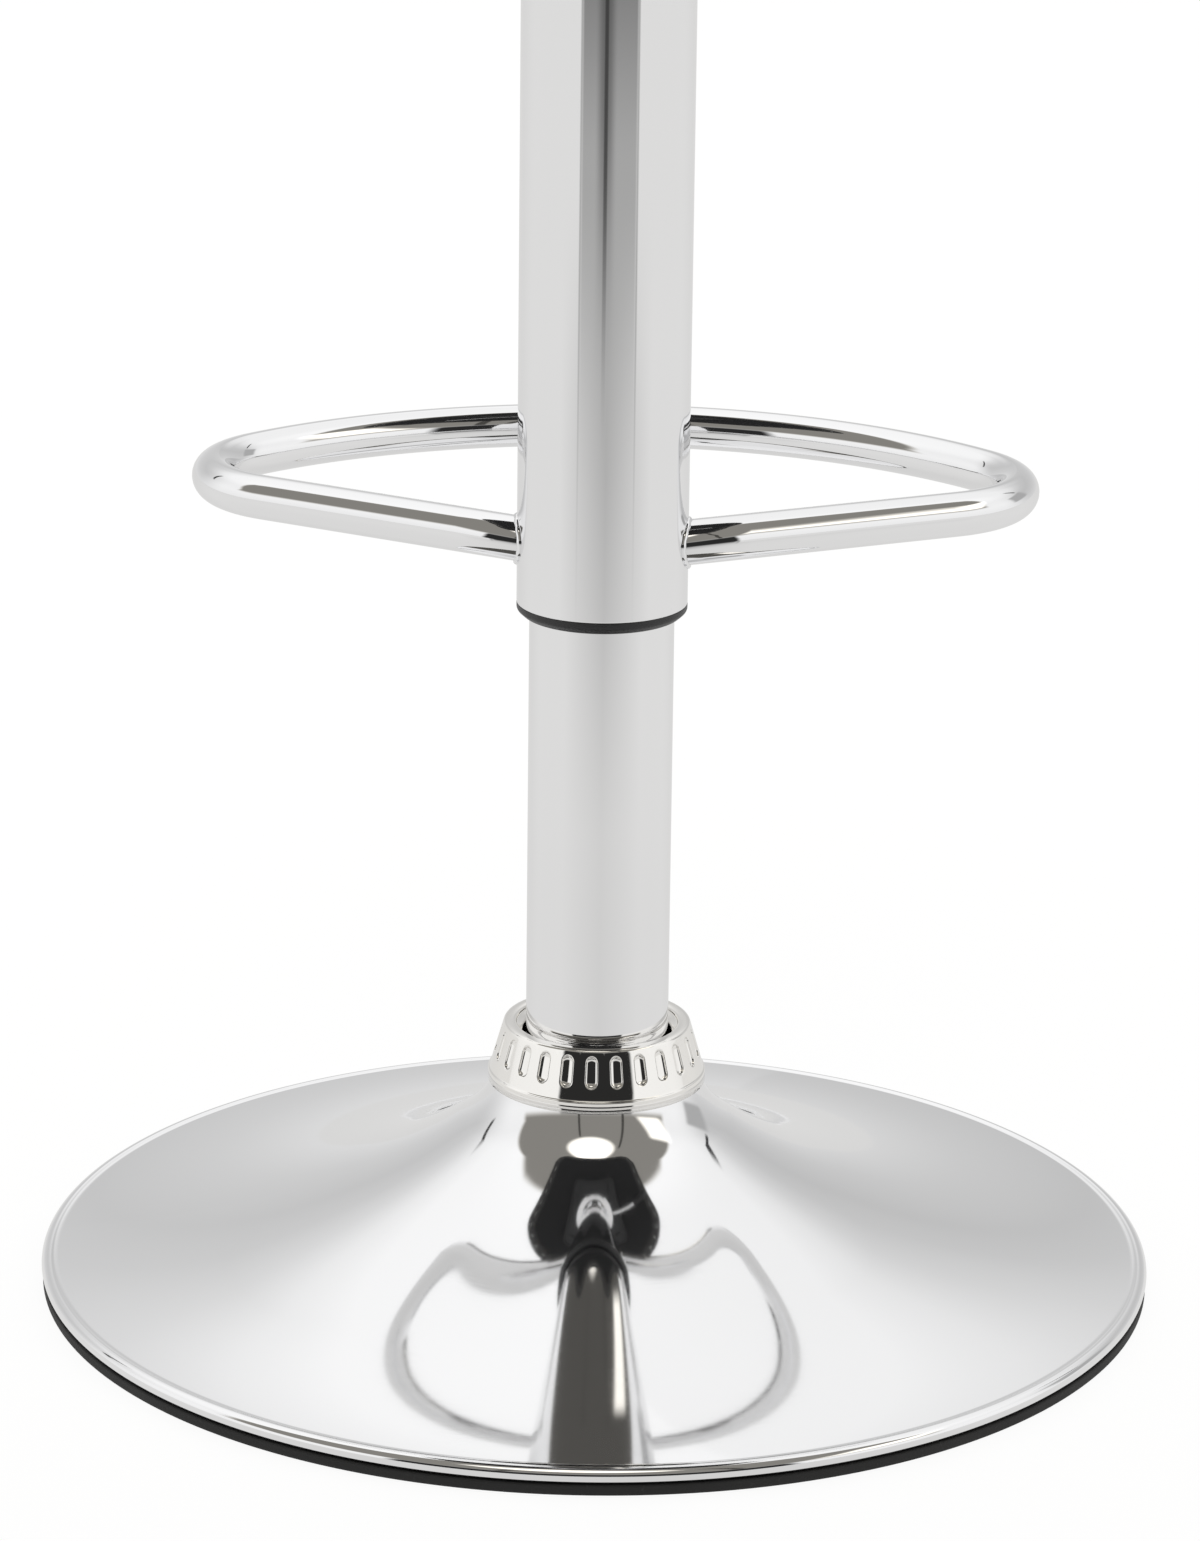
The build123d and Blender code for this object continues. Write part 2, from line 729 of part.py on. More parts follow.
nodes = {
    "base_shell": make_base_shell(),
    "base_gasket": make_base_gasket(),
    "base_plate": make_base_plate(),
    "hub_tube": make_hub_tube(),
    "trim_collar": make_trim_collar(),
    "column_tube": make_column_tube(),
    "column_floor": make_column_floor(),
    "column_bush": make_column_bush(),
    "bearing_lower_race": make_bearing_lower_race(),
    "bearing_balls": make_bearing_balls(),
    "bearing_upper_race": make_bearing_upper_race(),
    "piston_rod": make_piston_rod(),
    "rod_clip": make_rod_clip(),
    "piston": make_piston(),
    "piston_seal": make_piston_seal(),
    "gas_cylinder": make_gas_cylinder(),
    "cylinder_gland": make_cylinder_gland(),
    "sleeve_tube": make_sleeve_tube(),
    "sleeve_ring": make_sleeve_ring(),
    "footrest_loop": make_footrest_loop(),
    "plate_cover": make_plate_cover(),
    "sleeve_cap": make_sleeve_cap(),
    "taper_socket": make_taper_socket(),
    "lever_bracket": make_lever_bracket(),
    "lever_pin": make_lever_pin(),
    "lever_rod": make_lever_rod(),
    "lever_grip": make_lever_grip(),
    "release_pin": make_release_pin(),
    "seat_plate": make_seat_plate(),
    "plate_washers": make_plate_washers(),
    "plate_bolts": make_plate_bolts(),
    "t_nuts": make_t_nuts(),
    "dust_cloth": make_dust_cloth(),
    "seat_board": make_seat_board(),
    "seat_foam": make_seat_foam(),
    "seat_cover": make_seat_cover(),
}

os.makedirs("parts", exist_ok=True)
for name, shape in nodes.items():
    export_step(shape, f"parts/{name}.step")

print("seat height", round(seat_top_z, 1))
print("sleeve edge", round(sleeve_z, 1), "collar", round(collar_z, 1), "to", round(collar_top_z, 1))
print("lever pivot", lever_pivot_x, round(lever_z, 1), "lift", -lift_down, lift_up)
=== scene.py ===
"""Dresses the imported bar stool: chrome skins, black trim, a padded seat and a white studio.

The frame is loaded first, and places and outer sizes are read from its nodes. All lengths are in metres,
+Z is up, the footrest reaches towards +Y and the camera stands on the -Y side.
"""

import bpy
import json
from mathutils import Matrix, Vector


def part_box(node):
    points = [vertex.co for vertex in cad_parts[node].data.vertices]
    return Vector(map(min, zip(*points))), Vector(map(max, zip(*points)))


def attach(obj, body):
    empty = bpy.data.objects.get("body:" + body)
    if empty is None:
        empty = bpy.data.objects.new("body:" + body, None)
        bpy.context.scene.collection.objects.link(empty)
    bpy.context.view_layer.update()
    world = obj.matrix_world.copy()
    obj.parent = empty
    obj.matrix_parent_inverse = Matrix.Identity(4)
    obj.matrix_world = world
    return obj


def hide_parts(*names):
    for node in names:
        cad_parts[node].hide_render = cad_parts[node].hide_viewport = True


bl_info = {
    "name": "Bar Stool Dresser",
    "version": (1, 0, 0),
    "blender": (4, 5, 0),
    "location": "3D View > Sidebar > Stool",
    "description": "Builds the visible surfaces of a gas-lift bar stool around its packed frame",
    "category": "Object",
}

import json
import math

import bmesh
import bpy
import numpy as np
from bpy.props import FloatProperty, FloatVectorProperty, IntProperty, PointerProperty
from mathutils import Matrix

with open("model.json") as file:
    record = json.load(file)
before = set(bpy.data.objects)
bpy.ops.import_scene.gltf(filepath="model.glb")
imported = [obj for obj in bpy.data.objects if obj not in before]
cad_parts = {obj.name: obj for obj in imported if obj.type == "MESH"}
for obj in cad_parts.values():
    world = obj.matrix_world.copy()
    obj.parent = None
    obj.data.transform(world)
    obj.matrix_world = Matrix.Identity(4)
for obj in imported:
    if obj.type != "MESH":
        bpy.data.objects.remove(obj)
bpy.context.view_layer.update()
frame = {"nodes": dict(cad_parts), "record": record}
TINY = 1e-9


def low(node, axis):
    """Least coordinate of a frame node along one axis."""
    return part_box(node)[0]["xyz".index(axis)]


def high(node, axis):
    """Greatest coordinate of a frame node along one axis."""
    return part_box(node)[1]["xyz".index(axis)]


def length(name, default, text):
    """A property that holds a length in metres."""
    return FloatProperty(name=name, description=text, default=default, unit="LENGTH", precision=5)


def angle(name, degrees, text):
    """A property that holds an angle."""
    return FloatProperty(name=name, description=text, default=math.radians(degrees), subtype="ANGLE")


def colour(name, default, text):
    """A property that holds a linear colour."""
    return FloatVectorProperty(name=name, description=text, default=default, subtype="COLOR", min=0, max=1)


class StoolSizes(bpy.types.PropertyGroup):
    """Sizes of the visible skins."""

    bead: length("Rim bead", 0.0058, "Diameter of the base's rolled rim")
    crease: angle("Rim crease", 120, "Where the rolled rim meets the flare")
    rim_slope: angle("Rim slope", 4, "Slope of the flare at the rim")
    flare: length("Flare radius", 0.331, "Radius of the flare's long arc")
    shoulder_join: length("Shoulder join", 0.0903, "Where the flare becomes the shoulder, from the axis")
    shoulder: length("Shoulder radius", 0.187, "Radius of the shoulder arc")
    neck_join: length("Neck join", 0.0488, "Where the shoulder becomes the neck, from the axis")
    neck_slope: angle("Neck slope", 75, "Slope of the neck at its upper edge")
    sheet: length("Sheet", 0.0015, "Thickness of the base's steel sheet")
    collar_band: length("Collar band", 0.0044, "Height of the collar's plain foot band")
    collar_step: length("Collar step", 0.0006, "Step between the foot band and the cone")
    collar_top: length("Collar top", 0.0333, "Radius of the cone's upper edge")
    collar_edge: length("Collar edge", 0.0007, "Height of the rounding at the cone's ends")
    collar_mouth: length("Collar mouth", 0.029, "Radius of the mouth round the column")
    collar_lip: length("Collar lip", 0.0065, "Depth of the turned-down mouth")
    collar_wall: length("Collar wall", 0.0016, "Wall of the collar")
    slots: IntProperty(name="Slots", description="Recessed slots round the collar", default=25, min=3)
    slot_width: length("Slot width", 0.0042, "Width of one slot")
    slot_length: length("Slot length", 0.0104, "Length of one slot")
    slot_depth: length("Slot depth", 0.0012, "Depth of one slot")
    slot_margin: length("Slot margin", 0.0024, "From the collar's top edge to the slots")
    tube_wall: length("Tube wall", 0.0015, "Wall of the column and the sleeve")
    tube_edge: length("Tube edge", 0.0004, "Rounding of the tubes' edges")
    taper_height: length("Taper height", 0.082, "Height of the column's tapered foot")
    footrest_tube: length("Footrest tube", 0.008, "Radius of the footrest's tube")
    footrest_front: length("Footrest front", 0.185, "Radius of the footrest's front arc")
    footrest_corner: length("Footrest corner", 0.04, "Radius of the footrest's corners")
    footrest_bar: angle("Footrest bar", 27, "Angle of the footrest's straight bars")
    weld: length("Weld bead", 0.0011, "Radius of the weld bead round the footrest's ends")
    seat_corner: length("Seat corner", 0.06, "Radius of the seat's corners")
    seat_bow: length("Seat bow", 0.24, "Radius of the seat's bowed front")
    seat_crown: length("Seat crown", 0.9, "Radius of the seat's crowned top")
    seat_edge: length("Seat edge", 0.018, "Rounding of the seat's upper edge")
    seat_hem: length("Seat hem", 0.024, "Width of the cover's hem under the board")
    seat_voxel: length("Seat mesh", 0.006, "Cell of the mesh that swells")
    seat_swell: length("Seat swell", 0.005, "Furthest that the cover moves as it swells")
    seat_seam: length("Seat seam", 0.047, "From the seat's top down to its piped seam")
    seat_piping: length("Piping", 0.0021, "Radius of the piping round the seat")
    stitch: length("Stitch", 0.0046, "Length of one stitch with its gap")
    staples: IntProperty(name="Staples", description="Staples that hold the hem", default=44, min=4)


class StoolFinish(bpy.types.PropertyGroup):
    """Colours of the finishes."""

    chrome: colour("Chrome", (0.86, 0.86, 0.865), "Chromed steel")
    nickel: colour("Collar", (0.89, 0.875, 0.845), "Bright collar, a little warmer than the chrome")
    rubber: colour("Rubber", (0.012, 0.012, 0.012), "Black rubber")
    plastic: colour("Plastic", (0.016, 0.016, 0.017), "Black moulded plastic")
    paint: colour("Paint", (0.018, 0.018, 0.019), "Black painted steel")
    zinc: colour("Zinc", (0.60, 0.60, 0.58), "Zinc-plated steel")
    leather: colour("Leather", (0.014, 0.0135, 0.013), "Black faux leather")
    cloth: colour("Dust cloth", (0.013, 0.013, 0.014), "Black non-woven cloth")
    thread: colour("Thread", (0.02, 0.02, 0.021), "Sewing thread")


class StudioSettings(bpy.types.PropertyGroup):
    """Camera and surround."""

    distance: length("Distance", 1.8762, "From the column's axis to the camera, along the floor")
    height: length("Height", 0.7712, "Camera height")
    azimuth: angle("Azimuth", 2.8, "Camera's turn round the stool")
    pitch: angle("Pitch", 17.25, "Camera's tilt below the horizon")
    roll: angle("Roll", 0.681, "Camera's turn about its line of sight")
    focal: FloatProperty(name="Focal length", description="In pixels of the photo", default=5551.0)
    photo_height: FloatProperty(name="Photo height", description="In pixels", default=1541.0)
    gap: FloatProperty(name="Dark gap", description="Half-width of the unlit side in degrees", default=40.0)
    floor: length("Floor", 7.0, "Half-width of the floor")


def sizes():
    return bpy.context.scene.stool_sizes


def finish():
    return bpy.context.scene.stool_finish


def studio():
    return bpy.context.scene.stool_studio


def full_turn(count):
    """Evenly spaced angles of a full turn, without its end."""
    return np.linspace(0, 2 * np.pi, count, endpoint=False)


def unit(rows):
    """Rows scaled to length 1."""
    return rows / np.linalg.norm(rows, axis=1, keepdims=True)


def joined(*parts):
    """Coordinates side by side, spread to one shape."""
    return np.stack(np.broadcast_arrays(*parts), axis=-1)


def polar(radius, turn, level):
    """Points (r cos t, r sin t, z)."""
    return joined(radius * np.cos(turn), radius * np.sin(turn), level)


def grid_faces(rows, columns, wrap_rows=False, wrap_columns=True):
    """Quads of a grid whose vertex (row, column) is number row * columns + column."""
    row = np.arange(rows if wrap_rows else rows - 1)[:, None]
    column = np.arange(columns if wrap_columns else columns - 1)[None, :]
    here, after = row * columns, (row + 1) % rows * columns
    beside = (column + 1) % columns
    corners = [here + column, here + beside, after + beside, after + column]
    return np.stack(corners, axis=-1).reshape(-1, 4)


def repeated(faces, copies, points):
    """Quads of many copies of a mesh with that many points."""
    return (faces[None] + np.arange(copies)[:, None, None] * points).reshape(-1, 4)


def make_piece(name, points, faces, sharp=40):
    """A smooth-shaded mesh object from points and quads, with doubles merged and normals turned outwards."""
    mesh = bpy.data.meshes.new(name)
    mesh.from_pydata(points.reshape(-1, 3).tolist(), [], faces.tolist())
    work = bmesh.new()
    work.from_mesh(mesh)
    bmesh.ops.remove_doubles(work, verts=work.verts, dist=1e-6)
    bmesh.ops.dissolve_degenerate(work, edges=work.edges, dist=1e-7)
    bmesh.ops.recalc_face_normals(work, faces=work.faces)
    work.to_mesh(mesh)
    work.free()
    mesh.shade_smooth()
    mesh.set_sharp_from_angle(angle=math.radians(sharp))
    piece = bpy.data.objects.new(name, mesh)
    bpy.context.scene.collection.objects.link(piece)
    return piece


def dress(piece, body, slot, material, *nodes):
    """Give a new piece its material and body, and hide the frame nodes that it stands for. Its slot is not
    used.
    """
    piece.data.materials.clear()
    piece.data.materials.append(material)
    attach(piece, body)
    if nodes:
        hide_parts(*nodes)
    return piece


def skin(name, shape, body, slot, material, *nodes, sharp=40):
    """A dressed piece from a shape, which is points and quads."""
    return dress(make_piece(name, *shape, sharp), body, slot, material, *nodes)


def spun(profile, steps):
    """A closed profile carried round the axis: (r, z) becomes (r cos t, r sin t, z)."""
    faces = grid_faces(len(profile), steps, wrap_rows=True)
    return polar(profile[:, :1], full_turn(steps), profile[:, 1:]), faces


def arc(centre, radius, start, end, count):
    """Points of an arc from one angle to another, in radians, anticlockwise from the first axis."""
    turn = np.linspace(start, end, count)
    return joined(centre[0] + radius * np.cos(turn), centre[1] + radius * np.sin(turn))


def soft_corners(corners, cut):
    """Closed outline with each corner P cut back by cut and bridged by the parabola
    (1-t)^2 A + 2t(1-t) P + t^2 C, with a support point outside each end that keeps the walls flat."""
    corners = np.asarray(corners, float)
    cut = np.broadcast_to(np.asarray(cut, float), (len(corners),))[:, None]
    before = unit(np.roll(corners, 1, axis=0) - corners)
    after = unit(np.roll(corners, -1, axis=0) - corners)
    t = np.linspace(0, 1, 6)[None, :, None]
    first, last = (corners + before * cut)[:, None], (corners + after * cut)[:, None]
    bend = (1 - t) ** 2 * first + 2 * t * (1 - t) * corners[:, None] + t**2 * last
    support = 1.6 * cut
    lead, tail = (corners + before * support)[:, None], (corners + after * support)[:, None]
    return np.concatenate([lead, bend, tail], axis=1).reshape(-1, 2)


def trumpet_profile():
    """Closed outline of the trumpet sheet: rolled rim, flare, shoulder and neck arcs, then the inner side.
    On each arc the slope angle s runs from one end to the other: r = c_r - R sin s, z = c_z - R cos s."""
    size = sizes()
    bead = size.bead / 2
    rim, rim_z = high("base_shell", "x") - bead, low("base_shell", "z") + bead
    place = np.array([rim + bead * np.cos(size.crease), rim_z + bead * np.sin(size.crease)])
    slope = size.rim_slope
    bends = []

    def normal(s):
        return np.array([np.sin(s), np.cos(s)])

    def side(depth, counts):
        """The three arcs at a depth under the outer face, each with its count of points."""
        parts = []
        for (centre, radius, start, end), count in zip(bends, counts):
            parts.append(centre - (radius + depth) * normal(np.linspace(start, end, count)[1:]).T)
        return np.vstack(parts)

    for radius, end in ((size.flare, size.shoulder_join), (size.shoulder, size.neck_join)):
        centre = place + radius * normal(slope)
        steeper = np.arcsin(np.sin(slope) + (place[0] - end) / radius)
        bends.append((centre, radius, slope, steeper))
        place, slope = centre - radius * normal(steeper), steeper
    neck = (high("base_shell", "z") - place[1]) / (np.cos(slope) - np.cos(size.neck_slope))
    bends.append((place + neck * normal(slope), neck, slope, size.neck_slope))
    rolled = arc((rim, rim_z), bead, -np.pi * 0.75, size.crease, 34)
    return np.vstack([rolled, side(0, (64, 40, 44)), side(size.sheet, (16, 10, 16))[::-1]])


def build_base():
    """Chromed trumpet with its rolled rim."""
    shape = spun(trumpet_profile(), 320)
    skin("base_trumpet", shape, "base", "chrome", spun_chrome("Base chrome"), "base_shell")


def build_gasket():
    """Rubber ring under the rim: a flat band with soft edges that starts under the base plate's edge."""
    outer, top = high("base_gasket", "x"), low("base_shell", "z")
    overlap = 0.008
    inner = high("base_plate", "x") - overlap
    corners = [(inner, 0), (outer, 0), (outer, top), (inner, top)]
    shape = spun(soft_corners(corners, [0.0004, 0.0009, 0.0006, 0.0004]), 256)
    skin("base_foot_ring", shape, "base", "black_rubber", rubber("Foot rubber"), "base_gasket")


def collar_cone():
    """The collar's foot radius, its foot, band and top levels, then the cone's foot radius and fall."""
    size = sizes()
    foot, base, top = high("trim_collar", "x"), low("trim_collar", "z"), high("trim_collar", "z")
    band = base + size.collar_band
    cone = foot - size.collar_step
    return foot, base, band, top, cone, (cone - size.collar_top) / (top - band)


def collar_cells():
    """Cone of the collar with its recessed slots. One cell is a set of closed loops: the cell's border, loops
    that shrink to the slot's rim, a rounded lip, then the hollow d (1 - (1 - s)^p)^(1/p) from rim to spine.
    A point is its way across, its height and its depth."""
    size = sizes()
    _, _, band, top, cone, fall = collar_cone()
    pitch = 2 * np.pi / size.slots
    middle = top - size.slot_margin - size.slot_length / 2
    mean = cone - fall * (middle - band)
    half = size.slot_width / 2
    straight = size.slot_length / 2 - half
    lip, roundness = 0.0003, 2.4
    end_points = 13
    ends = np.linspace(0, np.pi, end_points)
    steps = np.linspace(0, 1, 7)[1:-1]

    def loop(width, rise, drop, radius):
        """One closed loop: rounded or straight top, left side, bottom and right side."""
        parts = []
        for way, near, far in ((1, rise, drop), (-1, drop, rise)):
            parts.append(joined(way * width * np.cos(ends), near + way * radius * np.sin(ends)))
            parts.append(joined(-way * width, near + (far - near) * steps))
        return np.vstack(parts)

    def sunk(loops, depth):
        """Loops with their depth as a third part."""
        return np.concatenate([loops, np.broadcast_to(depth, loops.shape[:2] + (1,))], axis=-1)

    border = loop(pitch * mean / 2, top - size.collar_edge - middle, band + size.collar_edge - middle, 0)
    rim = loop(half, straight, -straight, half)
    spine = np.clip(rim, [-TINY, -straight], [TINY, straight])
    share = np.array([0, 0.35, 0.65, 0.86, 0.96, 1])[:, None, None]
    turn = np.linspace(0, np.pi / 2, 5)[1:, None, None]
    s = np.array([0.025, 0.07, 0.14, 0.24, 0.38, 0.6, 1.0])[:, None, None]
    cell = np.concatenate([
        sunk(border + (rim * (1 + lip / half) - border) * share, 0.0),
        sunk(rim * (1 + lip * (1 - np.sin(turn)) / half), lip * (1 - np.cos(turn))),
        sunk(
            rim + (spine - rim) * s,
            lip + (size.slot_depth - lip) * (1 - (1 - s) ** roundness) ** (1 / roundness),
        ),
    ])
    across, up, depth = np.moveaxis(cell, -1, 0)
    tilt = np.arctan(fall)
    height = middle + up - depth * np.sin(tilt)
    radius = cone - fall * (middle + up - band) - depth * np.cos(tilt)
    centres = -np.pi / 2 + pitch * np.arange(size.slots)[:, None, None]
    faces = repeated(grid_faces(*across.shape), size.slots, across.size)
    border_turn = np.unique(np.round((centres + across[0, :end_points] / mean).ravel(), 9))
    return polar(radius, centres + across / mean, height).reshape(-1, 3), faces, border_turn


def build_collar():
    """Bright collar: the slotted cone, its rounded top edge, the mouth that leans in and the foot band."""
    size = sizes()
    points, faces, turn = collar_cells()
    turn = turn[np.append(np.diff(turn) > 1e-6, True)]
    turn = turn[turn < turn[0] + 2 * np.pi - 1e-6]
    foot, base, band, top, cone, fall = collar_cone()
    edge, lip, wall = size.collar_edge, size.collar_lip, size.collar_wall
    head, mouth = (size.collar_top, top), (size.collar_mouth, top)
    outline = np.vstack([
        (cone - fall * (top - edge - band), top - edge),
        np.add(head, [(0.00005, -0.6 * edge), (-0.00015, -0.25 * edge), (-0.0005, -0.00006), (-0.0009, 0)]),
        np.add(mouth, [(0.0009, 0), (0.0004, -0.0001), (0.0001, -0.0004), (0, -0.0009), (0, -0.2 * lip)]),
        np.add(mouth, [(-0.0002, -0.24 * lip), (-0.0009, -0.3 * lip), (-0.0021, -0.44 * lip)]),
        np.add(mouth, [(-0.0026, -0.56 * lip), (-0.0027, -lip), (wall, -lip), (wall, -wall)]),
        np.subtract(head, wall),
        (cone - wall, band),
        np.add((foot, base), [(-wall, 0), (-0.0003, 0), (0, 0.0003)]),
        np.add((foot, band), [(0, -0.0005), (-0.00008, -0.0002), (-0.0002, -0.00006)]),
        (cone + 0.0001, band),
        [(cone - fall * rise, band + rise) for rise in (edge * 0.5, edge)],
    ])
    shell = polar(outline[:, :1], turn, outline[:, 1:]).reshape(-1, 3)
    shell_faces = grid_faces(len(outline), len(turn)) + len(points)
    shape = np.vstack([points, shell]), np.vstack([faces, shell_faces])
    nickel = bright_collar("Collar nickel")
    skin("slotted_collar", shape, "base", "collar_bright", nickel, "trim_collar", sharp=50)


def build_tubes():
    """Column, sleeve and the black ring in the sleeve's lower end, as spun profiles with rounded edges."""
    size = sizes()
    wall, edge = size.tube_wall, size.tube_edge
    column = high("column_tube", "x")
    foot, head = low("column_tube", "z"), high("column_tube", "z")
    shoulder, taper = foot + size.taper_height, 0.0013
    corners = [
        (column - taper - wall, foot), (column - taper, foot), (column, shoulder), (column, head),
        (column - wall, head), (column - wall, shoulder),
    ]
    shape = spun(soft_corners(corners, edge), 192)
    skin("column_skin", shape, "base", "chrome", drawn_chrome("Column chrome", 0.03), "column_tube")
    sleeve = high("sleeve_tube", "x")
    bottom, top = low("sleeve_tube", "z"), high("sleeve_tube", "z")
    corners = [(sleeve - wall, bottom), (sleeve, bottom), (sleeve, top), (sleeve - wall, top)]
    shape = spun(soft_corners(corners, edge), 224)
    skin("sleeve_skin", shape, "seat", "chrome", drawn_chrome("Sleeve chrome", 0.035), "sleeve_tube")
    ring, ring_top = low("sleeve_ring", "z"), high("sleeve_ring", "z")
    slide_gap, press_gap, bevel_in, bevel_up = 0.0004, 0.0001, 0.0025, 0.00225
    bore, spigot = column + slide_gap, sleeve - wall - press_gap
    corners = [
        (bore, ring), (sleeve - bevel_in, ring), (sleeve, ring + bevel_up), (sleeve, bottom),
        (spigot, bottom), (spigot, ring_top), (bore, ring_top),
    ]
    cuts = [0.0004, 0.0008, 0.0008, 0.0002, 0.0001, 0.0003, 0.0003]
    shape = spun(soft_corners(corners, cuts), 192)
    skin("sleeve_guide_ring", shape, "seat", "black_plastic", plastic("Ring plastic"), "sleeve_ring")


def footrest_line():
    """Centre line of the loop on its own level, made of a bar, a corner arc, the front arc and their mirror
    images, and the bar's direction."""
    size = sizes()
    sleeve = high("sleeve_tube", "x")
    reach = high("footrest_loop", "y") - size.footrest_tube
    along = np.array([np.cos(size.footrest_bar), np.sin(size.footrest_bar)])
    inward = np.array([-along[1], along[0]])
    root = np.array([sleeve, 0.0])
    front = np.array([0.0, reach - size.footrest_front])
    gap = size.footrest_front - size.footrest_corner
    offset = root + inward * size.footrest_corner - front
    lead = offset @ along
    bar = np.sqrt(lead**2 - offset @ offset + gap**2) - lead
    corner = root + along * bar + inward * size.footrest_corner
    outer = np.arctan2(*(corner - front)[::-1])
    straight = root + along * np.linspace(-sleeve * 0.3, bar, 24)[:-1, None]
    turn = arc(corner, size.footrest_corner, size.footrest_bar - np.pi / 2, outer, 30)[:-1]
    sweep = arc(front, size.footrest_front, outer, np.pi / 2, 44)
    half = np.vstack([straight, turn, sweep])
    return np.vstack([half, half[::-1][1:] * [-1, 1]]), along


def build_footrest():
    """Footrest loop: a circle carried along the centre line, with both ends drawn on to the sleeve's wall."""
    tube = sizes().footrest_tube
    sleeve = high("sleeve_tube", "x")
    line, along = footrest_line()
    level = (low("footrest_loop", "z") + high("footrest_loop", "z")) / 2
    tangent = unit(np.gradient(line, axis=0))
    turn = full_turn(48)
    wide = tube * np.cos(turn)
    x, y = line[:, 0, None] + wide * tangent[:, 1, None], line[:, 1, None] - wide * tangent[:, 0, None]
    points = joined(x, y, level + tube * np.sin(turn))

    def cope(row, direction):
        """Slide a ring's points along the bar until they lie on the sleeve: |p + s d| = R."""
        dot = row[:, :2] @ direction
        square = (row[:, :2] ** 2).sum(axis=1) - sleeve**2
        shift = -dot + np.sqrt(dot**2 - square)
        return np.hstack([row[:, :2] + shift[:, None] * direction, row[:, 2:]])

    first = cope(points[0], along)
    last = cope(points[-1], along * [-1, 1])
    bare_radii, sunk = 2.2, 0.985
    outside = np.hypot(line[:, 0], line[:, 1]) >= sleeve + bare_radii * tube
    sunk_first, sunk_last = (seam * [sunk, sunk, 1.0] for seam in (first, last))
    caps = [np.broadcast_to(seam.mean(axis=0), seam.shape) for seam in (sunk_first, sunk_last)]
    loop = np.stack([caps[0], sunk_first, first, *points[outside], last, sunk_last, caps[1]])
    shape = loop, grid_faces(len(loop), len(turn))
    chrome = drawn_chrome("Footrest chrome", 0.03)
    skin("footrest_bent_tube", shape, "seat", "chrome", chrome, "footrest_loop", sharp=60)
    weld_bead("footrest_weld_right", first)
    weld_bead("footrest_weld_left", last)


def weld_bead(name, seam):
    """A thin bead carried along a closed seam, with ripples: radius w (1 + a sin 13 u)."""
    along = unit(np.roll(seam, -1, axis=0) - np.roll(seam, 1, axis=0))
    out = unit(seam * [1, 1, 0])
    out = unit(out - (out * along).sum(axis=1, keepdims=True) * along)
    beside = np.cross(along, out)
    turn = full_turn(12)[None, :, None]
    ripple = 1 + 0.12 * np.sin(13 * full_turn(len(seam)))[:, None, None]
    circle = np.cos(turn) * out[:, None] + np.sin(turn) * beside[:, None]
    points = seam[:, None] + sizes().weld * ripple * circle
    shape = points, grid_faces(len(seam), 12, wrap_rows=True)
    skin(name, shape, "seat", "chrome", drawn_chrome("Weld chrome", 0.08))


def seat_outline(turn, inset):
    """Polar radius of the seat's outline, set inwards, in direction u = (|cos t|, sin t): the back and side
    lines, corner arcs and bowed front. An arc of radius r about c is c.u + sqrt(r^2 - (c x u)^2)."""
    size = sizes()
    u, v = np.abs(np.cos(turn)) + TINY, np.sin(turn)
    (_, back, _), (side, nose, _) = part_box("seat_cover")
    corner = size.seat_corner - inset
    x, rear, bow = side - size.seat_corner, back + size.seat_corner, nose - size.seat_bow
    reach = size.seat_bow - size.seat_corner
    turned = np.arccos(x / reach)
    front = bow + reach * np.sin(turned)
    side, back = side - inset, back + inset

    def round_arc(c_x, c_y, radius):
        return c_x * u + c_y * v + np.sqrt(np.maximum(radius**2 - (c_x * v - c_y * u) ** 2, 0))

    end = (x + corner * np.cos(turned), front + corner * np.sin(turned))
    away = np.where(v * x < back * u, back / np.minimum(v, -TINY), round_arc(x, rear, corner))
    away = np.where(v * side > rear * u, side / u, away)
    away = np.where(v * side > front * u, round_arc(x, front, corner), away)
    return np.where(v * end[0] > end[1] * u, round_arc(0.0, bow, size.seat_bow - inset), away)


def cushion_form():
    """Closed cushion a little smaller than the finished seat. Each row is the outline, set in and scaled:
    underside, upright side, quarter-round edge, then the crown z = top - (R - sqrt(R^2 - d^2))."""
    size = sizes()
    foot = low("seat_cover", "z")
    top = high("seat_cover", "z") - 0.6 * size.seat_swell
    tuck = 0.1 * size.seat_swell
    edge = size.seat_edge
    turn = full_turn(288)
    bend = np.linspace(0, np.pi / 2, 12)[:, None]
    share = np.linspace(1, 0, 22)[1:, None]

    def crown(away):
        return top - (size.seat_crown - np.sqrt(size.seat_crown**2 - away**2))

    inner = seat_outline(turn, tuck + edge)[None]
    wall = crown(inner) - edge
    under_inset, foot_inset = 0.002, 0.0008
    under = seat_outline(turn, under_inset) * np.linspace(0, 1, 8)[:, None]
    side_inset = np.array([foot_inset, 0, 0, 0.25 * tuck, 0.7 * tuck, tuck])[:, None]
    side_share = np.array([0.008, 0.03, 0.2, 0.45, 0.7, 0.92])[:, None]
    rounding = seat_outline(turn[None], tuck + edge * (1 - np.cos(bend)))
    radius = np.vstack([under, seat_outline(turn[None], side_inset), rounding, inner * share])
    side_level, edge_level = foot + (wall - foot) * side_share, wall + edge * np.sin(bend)
    level = np.vstack([np.full(under.shape, foot), side_level, edge_level, crown(inner * share)])
    return polar(radius, turn, level), grid_faces(len(radius), len(turn))


def coordinates(mesh):
    """All vertices of a mesh as one array."""
    flat = np.empty(len(mesh.vertices) * 3)
    mesh.vertices.foreach_get("co", flat)
    return flat.reshape(-1, 3)


